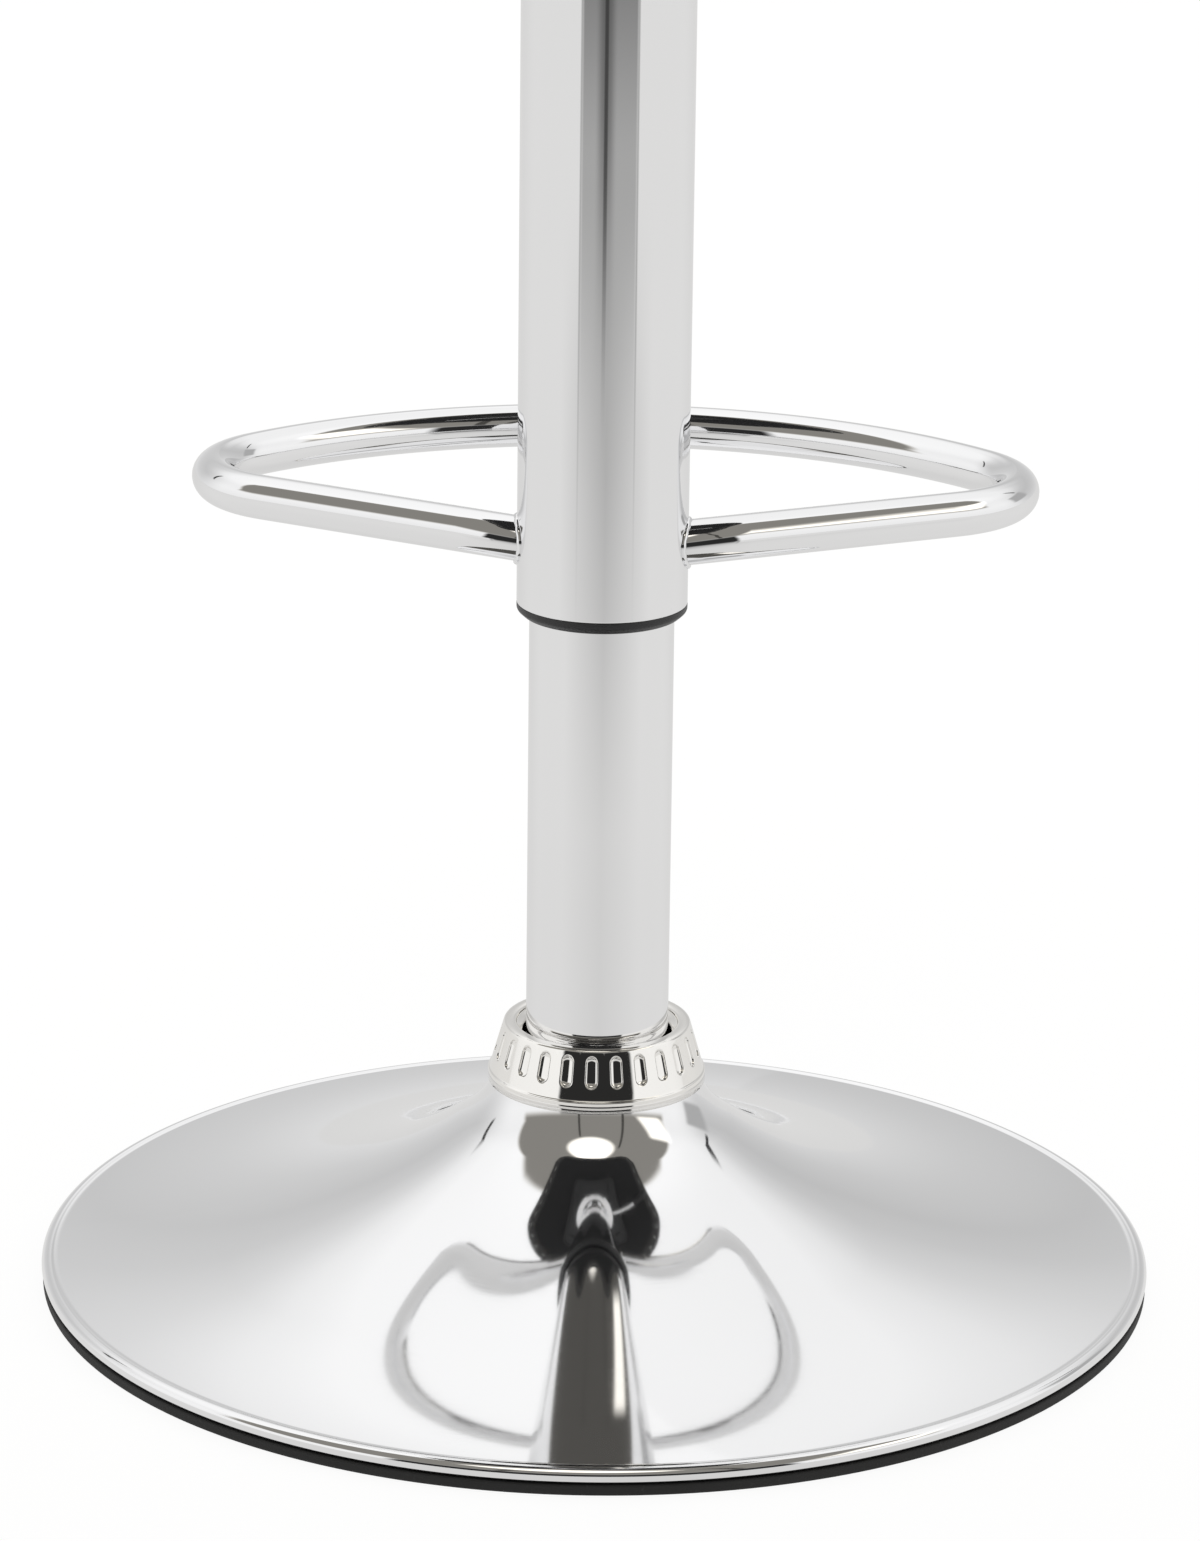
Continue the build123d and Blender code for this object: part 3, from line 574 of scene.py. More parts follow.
def place_points(mesh, points):
    """Move all vertices of a mesh."""
    mesh.vertices.foreach_set("co", points.ravel())
    mesh.update()


def applied(piece):
    """Replace a piece's mesh by what its modifiers make of it."""
    graph = bpy.context.evaluated_depsgraph_get()
    made = bpy.data.meshes.new_from_object(piece.evaluated_get(graph))
    piece.modifiers.clear()
    piece.data = made


def swell(piece, held_below, cap):
    """Let inner pressure swell a closed cover. Points below a level are held, none moves further than cap."""
    start = coordinates(piece.data)
    held = piece.vertex_groups.new(name="held")
    held.add(np.flatnonzero(start[:, 2] < held_below).tolist(), 1.0, "REPLACE")
    cloth = piece.modifiers.new("Swell", "CLOTH")
    choices = {
        "quality": 6, "mass": 0.3, "tension_stiffness": 12, "compression_stiffness": 12,
        "shear_stiffness": 5, "bending_stiffness": 2.0, "use_pressure": True, "uniform_pressure_force": 4,
        "vertex_group_mass": held.name,
    }
    for key, value in choices.items():
        setattr(cloth.settings, key, value)
    cloth.settings.effector_weights.gravity = 0
    first, last = 1, 20
    cloth.point_cache.frame_start, cloth.point_cache.frame_end = first, last
    scene = bpy.context.scene
    for step in range(first, last + 1):
        scene.frame_set(step)
    graph = bpy.context.evaluated_depsgraph_get()
    shift = coordinates(piece.evaluated_get(graph).data) - start
    far = np.linalg.norm(shift, axis=1, keepdims=True)
    piece.modifiers.clear()
    piece.vertex_groups.clear()
    place_points(piece.data, start + shift * np.minimum(1, cap / np.maximum(far, TINY)))
    scene.frame_set(first)


def seam_level():
    """Height of the piped seam between the seat's side and top."""
    return high("seat_cover", "z") - sizes().seat_seam


def fit_cover(points):
    """Seat the cover on its board: the hem lies flat, its middle goes up into the board, the side's foot
    meets the outline, and a groove exp(-(z - s)^2 / w^2) takes the piping."""
    foot, board, board_top = low("seat_cover", "z"), low("seat_board", "z"), high("seat_board", "z")
    flush_height, flush_reach = 0.012, 0.008
    groove_depth, groove_width = 0.0026, 0.0045
    hem_height, hem_sink, foot_height, foot_inset = 0.0025, 0.0006, 0.0012, 0.0008
    x, y, z = points.T
    away, turn = np.hypot(x, y), np.arctan2(y, x)
    under = z < foot + hem_height
    open_part = under & (away < seat_outline(turn, sizes().seat_hem))
    z[under] = np.maximum(z[under], foot)
    z[open_part] = board + hem_sink
    edge = seat_outline(turn, 0.0)
    side = (away > edge - flush_reach) & (z < board_top + flush_height) & ~open_part
    rise = np.clip((z - board_top) / flush_height, 0, 1)
    flush = np.where(z < foot + foot_height, edge - foot_inset, edge)
    target = flush + (away - flush) * rise**2 * (3 - 2 * rise)
    groove = groove_depth * np.exp(-(((z - seam_level()) / groove_width) ** 2)) * (away > 0.7 * edge)
    new_away = np.where(side, target, away) - groove
    points[:, :2] *= (new_away / np.maximum(away, TINY))[:, None]
    return points


def seat_angles():
    """Angles at which lines round the seat are worked out."""
    return np.linspace(-np.pi, np.pi, 1440, endpoint=False)


def around_seat(points, level):
    """Angles, and the cover's distance from the axis there on one level, smoothed, from its points nearby."""
    reach, core = 0.003, 0.15
    x, y, z = points.T
    near = (np.abs(z - level) < reach) & (np.hypot(x, y) > core)
    turn = np.arctan2(y, x)[near]
    away = np.hypot(x, y)[near] - seat_outline(turn, 0.0)
    order = np.argsort(turn)
    at = seat_angles()
    offset = np.interp(at, turn[order], away[order], period=2 * np.pi)
    kernel = np.hanning(25) / np.hanning(25).sum()
    smooth = np.convolve(np.concatenate([offset[-12:], offset, offset[:12]]), kernel, mode="valid")
    return at, seat_outline(at, 0.0) + smooth


def pebble(power):
    """A rounded block of 8 by 6 cells, 2 units long, wide and high: x = c(u) c(v), y = c(u) s(v), z = s(u),
    where c and s are the cosine and sine raised to a power with their sign kept."""
    u, v = np.linspace(-np.pi / 2, np.pi / 2, 7)[:, None], full_turn(8)

    def bend(value):
        return np.sign(value) * np.abs(value) ** power

    wide = bend(np.cos(u))
    points = joined(wide * bend(np.cos(v)), wide * bend(np.sin(v)), bend(np.sin(u)))
    return points.reshape(-1, 3), grid_faces(7, 8)


def scattered(template, scale, places, along, out):
    """Copies of one template set at places, its x along one direction, its z out of the surface."""
    points, faces = template
    beside = np.cross(out, along)
    local = (points * scale)[None]
    moved = places[:, None] + local[..., :1] * along[:, None] + local[..., 1:2] * beside[:, None]
    moved = moved + local[..., 2:] * out[:, None]
    return moved, repeated(faces, len(places), len(points))


def ring_places(at, away, level, count=0, step=1.0):
    """Places along a closed line on one level, so many or a step apart, and directions along and out."""
    closed = polar(np.append(away, away[0]), np.append(at, at[0]), level)
    run = np.concatenate([[0], np.cumsum(np.linalg.norm(np.diff(closed, axis=0), axis=1))])
    count = count or int(round(run[-1] / step))
    where = (np.arange(count) + 0.5) * run[-1] / count
    spot = np.stack([np.interp(where, run, column) for column in closed.T], axis=-1)
    along = unit(np.roll(spot, -1, axis=0) - np.roll(spot, 1, axis=0))
    return spot, along, np.cross(along, [0.0, 0.0, 1.0])


def build_seat():
    """Padded seat: its cover swells by cloth pressure, then gets its hem, groove, piping and stitches."""
    size = sizes()
    piece = make_piece("seat_cushion", *cushion_form())
    cells = piece.modifiers.new("Even cells", "REMESH")
    cells.mode = "VOXEL"
    cells.voxel_size = size.seat_voxel
    applied(piece)
    swell(piece, high("seat_board", "z"), size.seat_swell)
    finer = piece.modifiers.new("Finer", "SUBSURF")
    finer.levels = finer.render_levels = 1
    applied(piece)
    points = fit_cover(coordinates(piece.data))
    place_points(piece.data, points)
    piece.data.shade_smooth()
    cover = leather("Seat leather")
    dress(piece, "seat", "black_leather", cover, "seat_cover", "seat_foam")
    level = seam_level()
    at, away = around_seat(points, level)
    turn = full_turn(14)
    piping_out, stitch_drop, stitch_out = 0.0008, 0.0085, 0.0001
    stitch_half = [0.0017, 0.00045, 0.00035]
    bulge = away[:, None] + piping_out + size.seat_piping * np.cos(turn)
    cord = polar(bulge, at[:, None], level + size.seat_piping * np.sin(turn))
    skin("seat_piping", (cord, grid_faces(len(at), len(turn))), "seat", "black_leather", cover)
    at, away = around_seat(points, level - stitch_drop)
    places = ring_places(at, away + stitch_out, level - stitch_drop, step=size.stitch)
    shape = scattered(pebble(0.8), stitch_half, *places)
    skin("seat_stitches", shape, "seat", "black_leather", thread("Seat thread"), sharp=70)


def build_underside():
    """Dust cloth stretched under the board inside the hem, and the hem's staples. At share s of the way out
    the cloth has puckers p s^6 sin 36 t cos 5 t."""
    size = sizes()
    gap, pucker = 0.0002, 0.00022
    staple_half, staple_line = [0.005, 0.0006, 0.0004], 0.55
    turn = full_turn(256)
    border = seat_outline(turn, size.seat_hem + gap)
    share = np.linspace(0, 1, 44)[:, None]
    middle = (low("dust_cloth", "z") + low("seat_board", "z")) / 2
    level = middle + pucker * share**6 * np.sin(36 * turn) * np.cos(5 * turn)
    shape = polar(border * share, turn, level), grid_faces(len(share), len(turn))
    black = woven("Dust cloth", finish().cloth, 420.0, 0.3)
    cloth = skin("underside_cloth", shape, "seat", "dust_cloth", black, "dust_cloth")
    at = seat_angles()
    away = seat_outline(at, staple_line * size.seat_hem)
    places, along, _ = ring_places(at, away, low("seat_cover", "z") - gap, count=size.staples)
    down = np.broadcast_to([0.0, 0.0, -1.0], places.shape)
    shape = scattered(pebble(0.45), staple_half, places, along, down)
    skin("hem_staples", shape, "seat", "zinc_steel", zinc("Staple wire"), sharp=70)


class Net:
    """A node tree with short ways to add to it. A value is a constant or another node's output."""

    def __init__(self, tree):
        self.tree = tree

    def feed(self, target, value):
        """Link an output to an input, or set the input's constant."""
        if isinstance(value, bpy.types.NodeSocket):
            self.tree.links.new(value, target)
        else:
            target.default_value = value

    def add(self, kind, inputs=None, **settings):
        """Outputs of a new node that has its settings, and its inputs fed by name or by number."""
        made = self.tree.nodes.new("ShaderNode" + kind)
        for key, value in settings.items():
            setattr(made, key, value)
        for key, value in (inputs or {}).items():
            self.feed(made.inputs[key], value)
        return made.outputs

    def maths(self, operation, first, second=0.0, third=0.0):
        return self.add("Math", {0: first, 1: second, 2: third}, operation=operation)[0]

    def times(self, first, second):
        return self.maths("MULTIPLY", first, second)

    def minus(self, first, second):
        return self.maths("SUBTRACT", first, second)

    def over(self, first, second):
        return self.maths("DIVIDE", first, second)

    def scaled(self, value, factor, start):
        """A value times a factor, plus a start."""
        return self.maths("MULTIPLY_ADD", value, factor, start)

    def noise(self, place, scale, detail, rough=0.5):
        inputs = {"Vector": place, "Scale": scale, "Detail": detail, "Roughness": rough}
        return self.add("TexNoise", inputs)[0]

    def bump(self, height, strength, distance):
        return self.add("Bump", {"Height": height, "Strength": strength, "Distance": distance})[0]

    def mix(self, share, first, second, **settings):
        """Two colours mixed by a share."""
        return self.add("Mix", {0: share, 6: first, 7: second}, data_type="RGBA", **settings)[2]

    def blend(self, share, first, second):
        """Two values mixed by a share."""
        return self.add("Mix", {0: share, 2: first, 3: second})[0]

    def ramp(self, value, stops, smooth=False):
        """Grey levels at the given positions, read off at a value."""
        level = self.add("ValToRGB", {0: value})[0]
        band = level.node.color_ramp
        band.interpolation = "EASE" if smooth else "LINEAR"
        while len(band.elements) < len(stops):
            band.elements.new(1.0)
        for element, (place, tone) in zip(band.elements, stops):
            element.position = place
            element.color = (tone, tone, tone, 1)
        return level

    def past(self, value, edge, softness):
        """Smooth step from 0 to 1 where a value passes an edge, as wide as the softness on each side."""
        limits = {"Value": self.over(self.minus(value, edge), softness), "From Min": -1.0, "From Max": 1.0}
        return self.add("MapRange", limits, interpolation_type="SMOOTHSTEP")[0]

    def within(self, value, centre, half, softness):
        """1 where a value is nearer to a centre than half, with soft edges."""
        apart = self.maths("ABSOLUTE", self.minus(value, centre))
        return self.minus(1.0, self.past(apart, half, softness))

    def azimuth(self, x, y):
        """Angle in degrees from the camera side, positive to the right."""
        return self.maths("DEGREES", self.maths("ARCTAN2", x, self.times(y, -1.0)))

    def use(self, effect, **inputs):
        """Outputs of the node group that an effect fills, with its inputs fed by name."""
        name = effect.__name__.replace("_", " ").capitalize()
        tree = bpy.data.node_groups.get(name) or new_group(name, effect, inputs)
        return self.add("Group", inputs, node_tree=tree)


def new_group(name, effect, inputs):
    """A node group: the effect gets a net and the group's inputs, and gives its outputs by name."""
    tree = bpy.data.node_groups.new(name, "ShaderNodeTree")
    for label in inputs:
        kind = "NodeSocketVector" if label == "Vector" else "NodeSocketFloat"
        tree.interface.new_socket(label, in_out="INPUT", socket_type=kind)
    made = effect(Net(tree), tree.nodes.new("NodeGroupInput").outputs)
    for label in made:
        tree.interface.new_socket(label, in_out="OUTPUT", socket_type="NodeSocketFloat")
    end = tree.nodes.new("NodeGroupOutput")
    for label, value in made.items():
        tree.links.new(value, end.inputs[label])
    return tree


def polish_marks(net, start):
    """Effect: hair-fine polishing lines and a soft haze, both drawn out where the vector changes slowly."""
    lines = net.noise(start["Vector"], start["Lines"], 3.0, 0.65)
    cloud = net.noise(start["Vector"], start["Haze"], 2.0)
    return {
        "Marks": net.ramp(lines, [(0.42, 0.0), (0.72, 1.0)]),
        "Haze": net.ramp(cloud, [(0.3, 0.0), (0.7, 1.0)], smooth=True),
    }


def fine_grain(net, start):
    """Effect: speckled grain of moulded, painted and rubber skins, a slow change of tone, and dust."""
    place = start["Vector"]
    return {
        "Height": net.noise(place, start["Scale"], 2.0),
        "Tone": net.ramp(net.noise(place, 22.0, 3.0), [(0.3, 0.0), (0.72, 1.0)], smooth=True),
        "Dust": net.ramp(net.noise(place, 620.0, 1.0), [(0.66, 0.0), (0.8, 1.0)]),
    }


def material(maker):
    """Makes a maker's material once for each name. The maker gets a net and the place on the piece, and gives
    what goes into the Principled shader."""

    def by_name(name, *choices):
        found = bpy.data.materials.get(name)
        if found:
            return found
        made = bpy.data.materials.new(name)
        made.use_nodes = True
        net = Net(made.node_tree)
        shader = net.tree.nodes["Principled BSDF"]
        for key, value in maker(net, net.add("TexCoord")["Object"], *choices).items():
            net.feed(shader.inputs[key], value)
        return made

    return by_name


def tinted(value, factor):
    """A colour times a factor, with alpha."""
    return tuple(min(1.0, part * factor) for part in value) + (1.0,)


@material
def metal(net, place, tint, rough, vector_of, lines, wave):
    """Polished metal: a mirror with hair-fine marks, a faint haze and slow waves in the sheet."""
    marks = net.use(polish_marks, Vector=vector_of(net, place), Lines=lines, Haze=5.0)
    hazy = net.scaled(marks["Haze"], rough * 0.35, rough * 0.8)
    return {
        "Metallic": 1.0,
        "Base Color": net.mix(marks["Haze"], tinted(tint, 0.985), tinted(tint, 1.01)),
        "Roughness": net.scaled(marks["Marks"], rough * 0.5, hazy),
        "Normal": net.bump(net.noise(place, 16.0, 1.0), wave, 0.002),
    }


def ring_vector(net, place):
    """Vector for marks that run round the axis: distance from the axis, then a slow turn."""
    x, y, z = net.add("SeparateXYZ", {0: place})
    flat = net.add("CombineXYZ", {"X": x, "Y": y})[0]
    away = net.add("VectorMath", {0: flat}, operation="LENGTH")["Value"]
    turn = net.times(net.maths("ARCTAN2", y, x), 0.004)
    return net.add("CombineXYZ", {"X": away, "Y": turn, "Z": z})[0]


def lathe_vector(net, place):
    """Vector for marks that run round a tube: full height, little across."""
    return net.add("Mapping", {"Vector": place, "Scale": (0.06, 0.06, 1.0)})[0]


def spun_chrome(name):
    return metal(name, finish().chrome, 0.048, ring_vector, 2600.0, 0.02)


def drawn_chrome(name, rough):
    return metal(name, finish().chrome, rough, lathe_vector, 1400.0, 0.012)


def bright_collar(name):
    return metal(name, finish().nickel, 0.045, lathe_vector, 1100.0, 0.01)


@material
def dull(net, place, tint, rough, scale, relief, dust=0.02):
    """Dull black skin: fine grain, a slow change of gloss and a trace of dust."""
    grain = net.use(fine_grain, Vector=place, Scale=scale)
    body = net.mix(grain["Tone"], tinted(tint, 0.85), tinted(tint, 1.25))
    return {
        "Base Color": net.mix(net.times(grain["Dust"], dust), body, (0.35, 0.35, 0.34, 1)),
        "Roughness": net.scaled(grain["Tone"], 0.12, rough - 0.06),
        "Normal": net.bump(grain["Height"], relief, 0.0004),
    }


def rubber(name):
    return dull(name, finish().rubber, 0.72, 1500.0, 0.35, 0.05)


def plastic(name):
    return dull(name, finish().plastic, 0.42, 2200.0, 0.22)


def paint(name):
    return dull(name, finish().paint, 0.38, 1200.0, 0.18)


@material
def zinc(net, place):
    """Zinc plate: a dull metal with patchy gloss."""
    tint = finish().zinc
    grain = net.use(fine_grain, Vector=place, Scale=2400.0)
    return {
        "Metallic": 1.0,
        "Base Color": net.mix(grain["Tone"], tinted(tint, 0.86), tinted(tint, 1.1)),
        "Roughness": net.scaled(grain["Tone"], 0.16, 0.26),
        "Normal": net.bump(grain["Height"], 0.12, 0.0003),
    }


@material
def plywood(net, place):
    """Birch plywood: grain along X on the faces, thin dark layers on the edges."""
    layer_height = 0.0012
    along = net.add("Mapping", {"Vector": place, "Scale": (6.0, 90.0, 1.0)})[0]
    grain = net.noise(along, 1.0, 5.0)
    tone = net.mix(grain, (0.52, 0.36, 0.2, 1), (0.72, 0.55, 0.36, 1))
    height = net.add("SeparateXYZ", {0: place})["Z"]
    layer = net.times(net.maths("PINGPONG", height, layer_height), 830.0)
    dark = net.ramp(layer, [(0.0, 0.75), (0.35, 1.0)])
    return {
        "Base Color": net.mix(1.0, tone, dark, blend_type="MULTIPLY"),
        "Roughness": net.scaled(grain, 0.2, 0.55),
    }


@material
def leather(net, place):
    """Black faux leather: pebbled cells, their creases in painted shade, a little glossier on the high spots.
    """
    tint = finish().leather
    warp = net.add("TexNoise", {"Vector": place, "Scale": 160.0, "Detail": 2.0})[1]
    bent = net.add("VectorMath", {0: warp, 1: (0.004, 0.004, 0.004)}, operation="MULTIPLY")[0]
    moved = net.add("VectorMath", {0: place, 1: bent}, operation="ADD")[0]
    cells = net.add("TexVoronoi", {"Vector": moved, "Scale": 620.0}, feature="DISTANCE_TO_EDGE")["Distance"]
    pebbles = net.ramp(cells, [(0.0, 0.0), (0.22, 0.75), (0.6, 1.0)], smooth=True)
    slow = net.noise(place, 9.0, 3.0)
    # Painted shade: the colour is darker in the creases between the pebbles, where the relief is low.
    body = net.mix(pebbles, tinted(tint, 0.6), tinted(tint, 1.2))
    height = net.scaled(net.noise(place, 38.0, 4.0), 0.6, pebbles)
    return {
        "Base Color": net.mix(slow, body, tinted(tint, 1.5)),
        "Roughness": net.scaled(slow, 0.1, net.scaled(pebbles, -0.14, 0.56)),
        "Normal": net.bump(height, 0.32, 0.0006),
    }


@material
def woven(net, place, tint, scale, relief):
    """Cloth of crossing threads: two sets of waves at right angles, over a faint unevenness."""
    across, along = (
        net.add("TexWave", {"Vector": place, "Scale": scale, "Distortion": 0.6}, bands_direction=axis)["Fac"]
        for axis in "XY"
    )
    weave = net.times(across, along)
    slow = net.noise(place, 30.0, 4.0)
    # Painted shade: the colour is darker between the threads, where the weave is low; it also changes at
    # random with the unevenness.
    return {
        "Base Color": net.mix(net.times(weave, slow), tinted(tint, 0.6), tinted(tint, 2.2)),
        "Roughness": net.scaled(slow, 0.15, 0.8),
        "Normal": net.bump(weave, relief, 0.0005),
    }


@material
def thread(net, place):
    """Sewing thread: two twisted plies as fine slanting waves."""
    tint = finish().thread
    twist = net.add("TexWave", {"Vector": place, "Scale": 900.0}, bands_direction="DIAGONAL")["Fac"]
    # Painted shade: the colour is darker in the grooves between the twisted plies.
    return {
        "Base Color": net.mix(twist, tinted(tint, 0.6), tinted(tint, 1.6)),
        "Roughness": net.scaled(twist, 0.15, 0.55),
        "Normal": net.bump(twist, 0.4, 0.0002),
    }


def build_hidden():
    """Materials for the frame nodes that show as they are."""
    choices = {
        "chrome": drawn_chrome("Fitting chrome", 0.04),
        "black_rubber": rubber("Seal rubber"),
        "black_plastic": plastic("Fitting plastic"),
        "black_paint": paint("Fitting paint"),
        "zinc_steel": zinc("Fitting zinc"),
        "plywood": plywood("Seat plywood"),
    }
    for row in frame["record"]["subparts"]:
        made = choices.get(row["material_slot"])
        if row["node"] in ("plate_bolts", "plate_washers"):
            made = paint("Bolt coating")
        if made:
            mesh = frame["nodes"][row["node"]].data
            mesh.materials.clear()
            mesh.materials.append(made)


def build_camera():
    """Camera at the photo's place: rolled about its line of sight, tilted down and turned round the stool."""
    look = studio()
    data = bpy.data.cameras.new("Camera")
    data.sensor_width = 36.0
    data.lens = look.focal / look.photo_height * data.sensor_width
    data.clip_start, data.clip_end = 0.01, 50
    camera = bpy.data.objects.new("Camera", data)
    bpy.context.scene.collection.objects.link(camera)
    tilt = Matrix.Rotation(math.pi / 2 - look.pitch, 4, "X") @ Matrix.Rotation(look.roll, 4, "Z")
    place = Matrix.Translation((0, -look.distance, look.height))
    camera.matrix_world = Matrix.Rotation(look.azimuth, 4, "Z") @ place @ tilt
    bpy.context.scene.camera = camera


def build_world():
    """White to the camera. To the object: pale walls, and in front a grey room with a ceiling lamp, a window
    and lamp stands, over a dark gap where the camera stands. Angles are in degrees. Light that is reflected
    twice meets the lamp, the window and the stands as if it came in lower."""
    world = bpy.data.worlds.new("Studio")
    bpy.context.scene.world = world
    world.use_nodes = True
    net = Net(world.node_tree)
    net.tree.nodes.clear()
    x, y, z = net.add("SeparateXYZ", {0: net.add("TexCoord")["Generated"]})
    turn = net.azimuth(x, y)
    side = net.maths("ABSOLUTE", turn)
    zenith = 90.0
    rise = net.maths("DEGREES", net.maths("ARCSINE", z))
    wall_tones = [(0.0, 0.97), (0.2, 1.03), (0.4, 1.0), (0.6, 1.12), (1.0, 1.15)]
    wall = net.ramp(net.over(rise, zenith), wall_tones)
    rear = net.times(net.maths("MAXIMUM", net.minus(side, 160.0), 0.0), 0.6)
    bowed = net.scaled(rear, net.past(rise, 20.0, 6.0), rise)
    back_tones = [
        (0.0, 0.77), (0.1, 0.69), (0.22, 0.63), (0.29, 0.68), (0.35, 0.79), (0.41, 0.96), (0.48, 1.07),
        (1.0, 1.15),
    ]
    right_dimmer = net.blend(net.past(turn, 110.0, 20.0), 1.0, 0.94)
    back = net.times(net.ramp(net.over(bowed, zenith), back_tones), right_dimmer)
    level = net.blend(net.past(side, 115.0, 22.0), wall, back)
    path = net.add("LightPath")
    again = net.maths("GREATER_THAN", path["Ray Depth"], 2.5)
    lowered = 17.0
    seen = net.scaled(again, -lowered, rise)
    above = net.past(rise, 24.0, 4.0)
    room_half = net.add("MapRange", {"Value": rise, 1: 30.0, 2: 64.0, 3: 79.0, 4: 105.0})[0]
    room = net.times(net.within(turn, 0.0, room_half, 3.0), above)
    room_tone, room_again, gap_tone, lamp_tone = 0.265, 0.1, 0.025, 1.5
    level = net.blend(room, level, net.blend(again, room_tone, room_again))
    gap = net.times(net.within(turn, 3.0, studio().gap, 2.0), net.minus(1.0, above))
    level = net.blend(gap, level, gap_tone)
    for centre, lean, half, low_end, high_end, tone in (
        (-16.0, 0.0, 1.2, 24.0, 50.0, 0.07),
        (34.0, 0.08, 1.4, 24.0, 62.0, 0.07),
        (-122.0, -0.75, 1.6, 22.0, 36.0, 0.05),
        (131.0, 0.3, 1.4, 30.0, 40.0, 0.05),
        (120.0, 0.0, 11.0, 9.0, 27.0, 0.46),
        (72.0, 1.05, 13.0, 27.0, 47.0, 1.5),
    ):
        middle = (low_end + high_end) / 2
        bent = net.scaled(seen, lean, centre - lean * middle)
        across = net.within(turn, bent, half, 0.3 * half)
        along = net.within(seen, middle, (high_end - low_end) / 2, 2.0)
        level = net.blend(net.times(across, along), level, tone)
    wide = net.maths("POWER", net.over(net.maths("ADD", turn, 4.0), 34.0), 2.0)
    tall = net.maths("POWER", net.over(net.minus(seen, 66.0), 15.0), 2.0)
    lamp = net.past(net.minus(1.0, net.maths("ADD", wide, tall)), 0.0, 0.25)
    level = net.blend(lamp, level, lamp_tone)
    shown = net.blend(path["Is Camera Ray"], level, 1.0)
    tint = net.mix(room, (1.0, 1.0, 1.0, 1), (1.0, 0.96, 0.88, 1))
    light = net.add("Background", {"Color": tint, "Strength": shown})[0]
    net.add("OutputWorld", {0: light})


def floor_material():
    """Pale floor: white to the camera with the stool's soft shadow, and to the metal a white sweep that turns
    grey with distance in the unlit wedge, which has thin borders and a dark stand. Angles are in degrees."""
    made = bpy.data.materials.new("Pale floor")
    made.use_nodes = True
    net = Net(made.node_tree)
    net.tree.nodes.clear()
    place = net.add("TexCoord")["Object"]
    x, y, _ = net.add("SeparateXYZ", {0: place})
    wedge_middle, wedge_half, stand_at = 5.7, studio().gap - 3.4, -5.0
    turn = net.minus(net.azimuth(x, y), wedge_middle)
    side = net.maths("ABSOLUTE", turn)
    away = net.add("VectorMath", {0: place}, operation="LENGTH")["Value"]
    far = net.over(away, 4.0)
    front_tones = [
        (0.03, 0.71), (0.14, 0.72), (0.24, 0.58), (0.31, 0.5), (0.41, 0.45), (0.55, 0.43), (0.65, 0.33),
        (0.9, 0.1),
    ]
    sides = net.ramp(far, [(0.05, 0.8), (0.2, 0.83), (1.0, 0.82)])
    sides = net.blend(net.past(side, 135.0, 25.0), sides, 0.75)
    slope = net.maths("MAXIMUM", net.minus(1.0, net.over(side, 62.0)), 0.0)
    wedge = net.within(turn, 0.0, wedge_half, 3.0)
    shade = net.blend(net.past(away, 1.6, 0.5), slope, wedge)
    level = net.blend(shade, sides, net.ramp(far, front_tones))
    border = net.times(net.within(side, wedge_half + 1.0, 1.0, 0.8), net.past(away, 1.3, 0.5))
    level = net.blend(net.times(border, 0.5), level, 0.2)
    for half, softness, start, share in ((9.0, 6.0, 1.9, 0.55), (2.4, 1.2, 1.72, 0.8)):
        stand = net.times(net.within(turn, stand_at, half, softness), net.past(away, start, 0.5))
        level = net.blend(net.times(stand, share), level, 0.04)
    reflected = net.add("Emission", {"Color": (1.0, 0.995, 0.985, 1), "Strength": level})[0]
    lit = net.add("BsdfDiffuse", {"Color": (0.93, 0.93, 0.93, 1)})[0]
    white = net.add("Emission", {"Color": (1, 1, 1, 1), "Strength": 1.06})[0]
    seen = net.add("MixShader", {0: 0.86, 1: lit, 2: white})[0]
    camera_ray = net.add("LightPath")["Is Camera Ray"]
    both = net.add("MixShader", {0: camera_ray, 1: reflected, 2: seen})[0]
    from_below = net.add("NewGeometry")["Backfacing"]
    clear = net.add("BsdfTransparent")[0]
    one_sided = net.add("MixShader", {0: from_below, 1: both, 2: clear})[0]
    net.add("OutputMaterial", {0: one_sided})
    return made


def build_floor():
    """Floor under the stool."""
    across = np.linspace(-studio().floor, studio().floor, 9)
    x, y = np.meshgrid(across, across)
    points = joined(x, y, 0.0).reshape(-1, 3)
    mesh = bpy.data.meshes.new("floor")
    mesh.from_pydata(points.tolist(), [], grid_faces(9, 9, wrap_columns=False).tolist())
    mesh.materials.append(floor_material())
    floor = bpy.data.objects.new("floor", mesh)
    bpy.context.scene.collection.objects.link(floor)


class PieceOperator:
    """What the building operators share: each runs its makers in order."""

    bl_options = {"REGISTER", "UNDO"}

    def execute(self, context):
        for maker in self.makers:
            maker()
        return {"FINISHED"}


class STOOL_OT_base(PieceOperator, bpy.types.Operator):
    """Build the trumpet base, its foot ring and the slotted collar"""

    bl_idname = "stool.base"
    bl_label = "Base"
    makers = (build_base, build_gasket, build_collar)


class STOOL_OT_tubes(PieceOperator, bpy.types.Operator):
    """Build the column, the sleeve and the guide ring"""

    bl_idname = "stool.tubes"
    bl_label = "Tubes"
    makers = (build_tubes,)


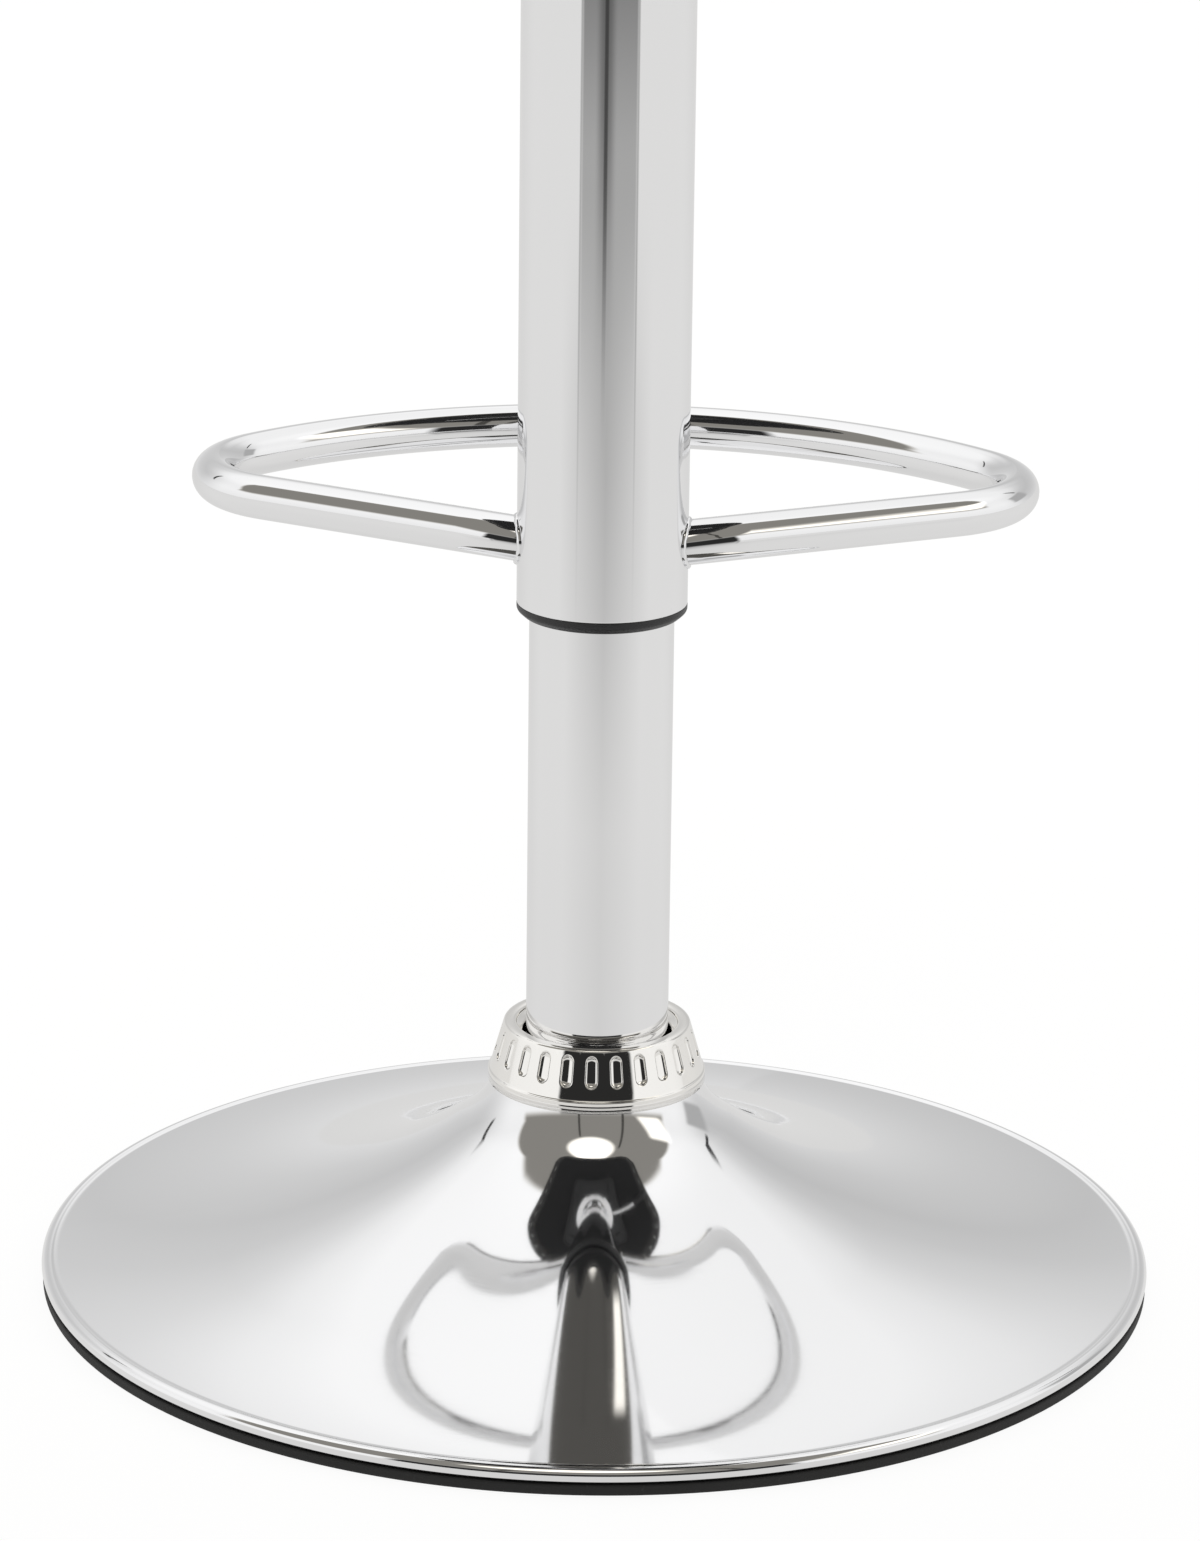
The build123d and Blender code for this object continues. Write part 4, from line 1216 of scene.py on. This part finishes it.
class STOOL_OT_footrest(PieceOperator, bpy.types.Operator):
    """Build the footrest loop and its welds"""

    bl_idname = "stool.footrest"
    bl_label = "Footrest"
    makers = (build_footrest,)


class STOOL_OT_seat(PieceOperator, bpy.types.Operator):
    """Build the padded seat, its dust cloth and its staples"""

    bl_idname = "stool.seat"
    bl_label = "Seat"
    makers = (build_seat, build_underside)


class STOOL_OT_fittings(PieceOperator, bpy.types.Operator):
    """Give the remaining frame parts their materials"""

    bl_idname = "stool.fittings"
    bl_label = "Fittings"
    makers = (build_hidden,)


class STOOL_OT_stage(PieceOperator, bpy.types.Operator):
    """Set up the camera, the floor and the studio surround"""

    bl_idname = "stool.stage"
    bl_label = "Stage"
    makers = (build_camera, build_world, build_floor)


OPERATORS = (
    STOOL_OT_base, STOOL_OT_tubes, STOOL_OT_footrest, STOOL_OT_seat, STOOL_OT_fittings, STOOL_OT_stage,
)


class STOOL_PT_panel(bpy.types.Panel):
    """Lists the stool's building steps"""

    bl_idname = "STOOL_PT_panel"
    bl_label = "Bar stool"
    bl_space_type = "VIEW_3D"
    bl_region_type = "UI"
    bl_category = "Stool"

    def draw(self, context):
        for operator in OPERATORS:
            self.layout.operator(operator.bl_idname)


CLASSES = (StoolSizes, StoolFinish, StudioSettings, *OPERATORS, STOOL_PT_panel)


def register():
    for item in CLASSES:
        bpy.utils.register_class(item)
    bpy.types.Scene.stool_sizes = PointerProperty(type=StoolSizes)
    bpy.types.Scene.stool_finish = PointerProperty(type=StoolFinish)
    bpy.types.Scene.stool_studio = PointerProperty(type=StudioSettings)


def unregister():
    del bpy.types.Scene.stool_studio
    del bpy.types.Scene.stool_finish
    del bpy.types.Scene.stool_sizes
    for item in reversed(CLASSES):
        bpy.utils.unregister_class(item)


def main():
    """Build everything in order."""
    register()
    bpy.context.scene.view_settings.view_transform = "Standard"
    bpy.ops.stool.base()
    bpy.ops.stool.tubes()
    bpy.ops.stool.footrest()
    bpy.ops.stool.seat()
    bpy.ops.stool.fittings()
    bpy.ops.stool.stage()


if __name__ == "__main__":
    main()
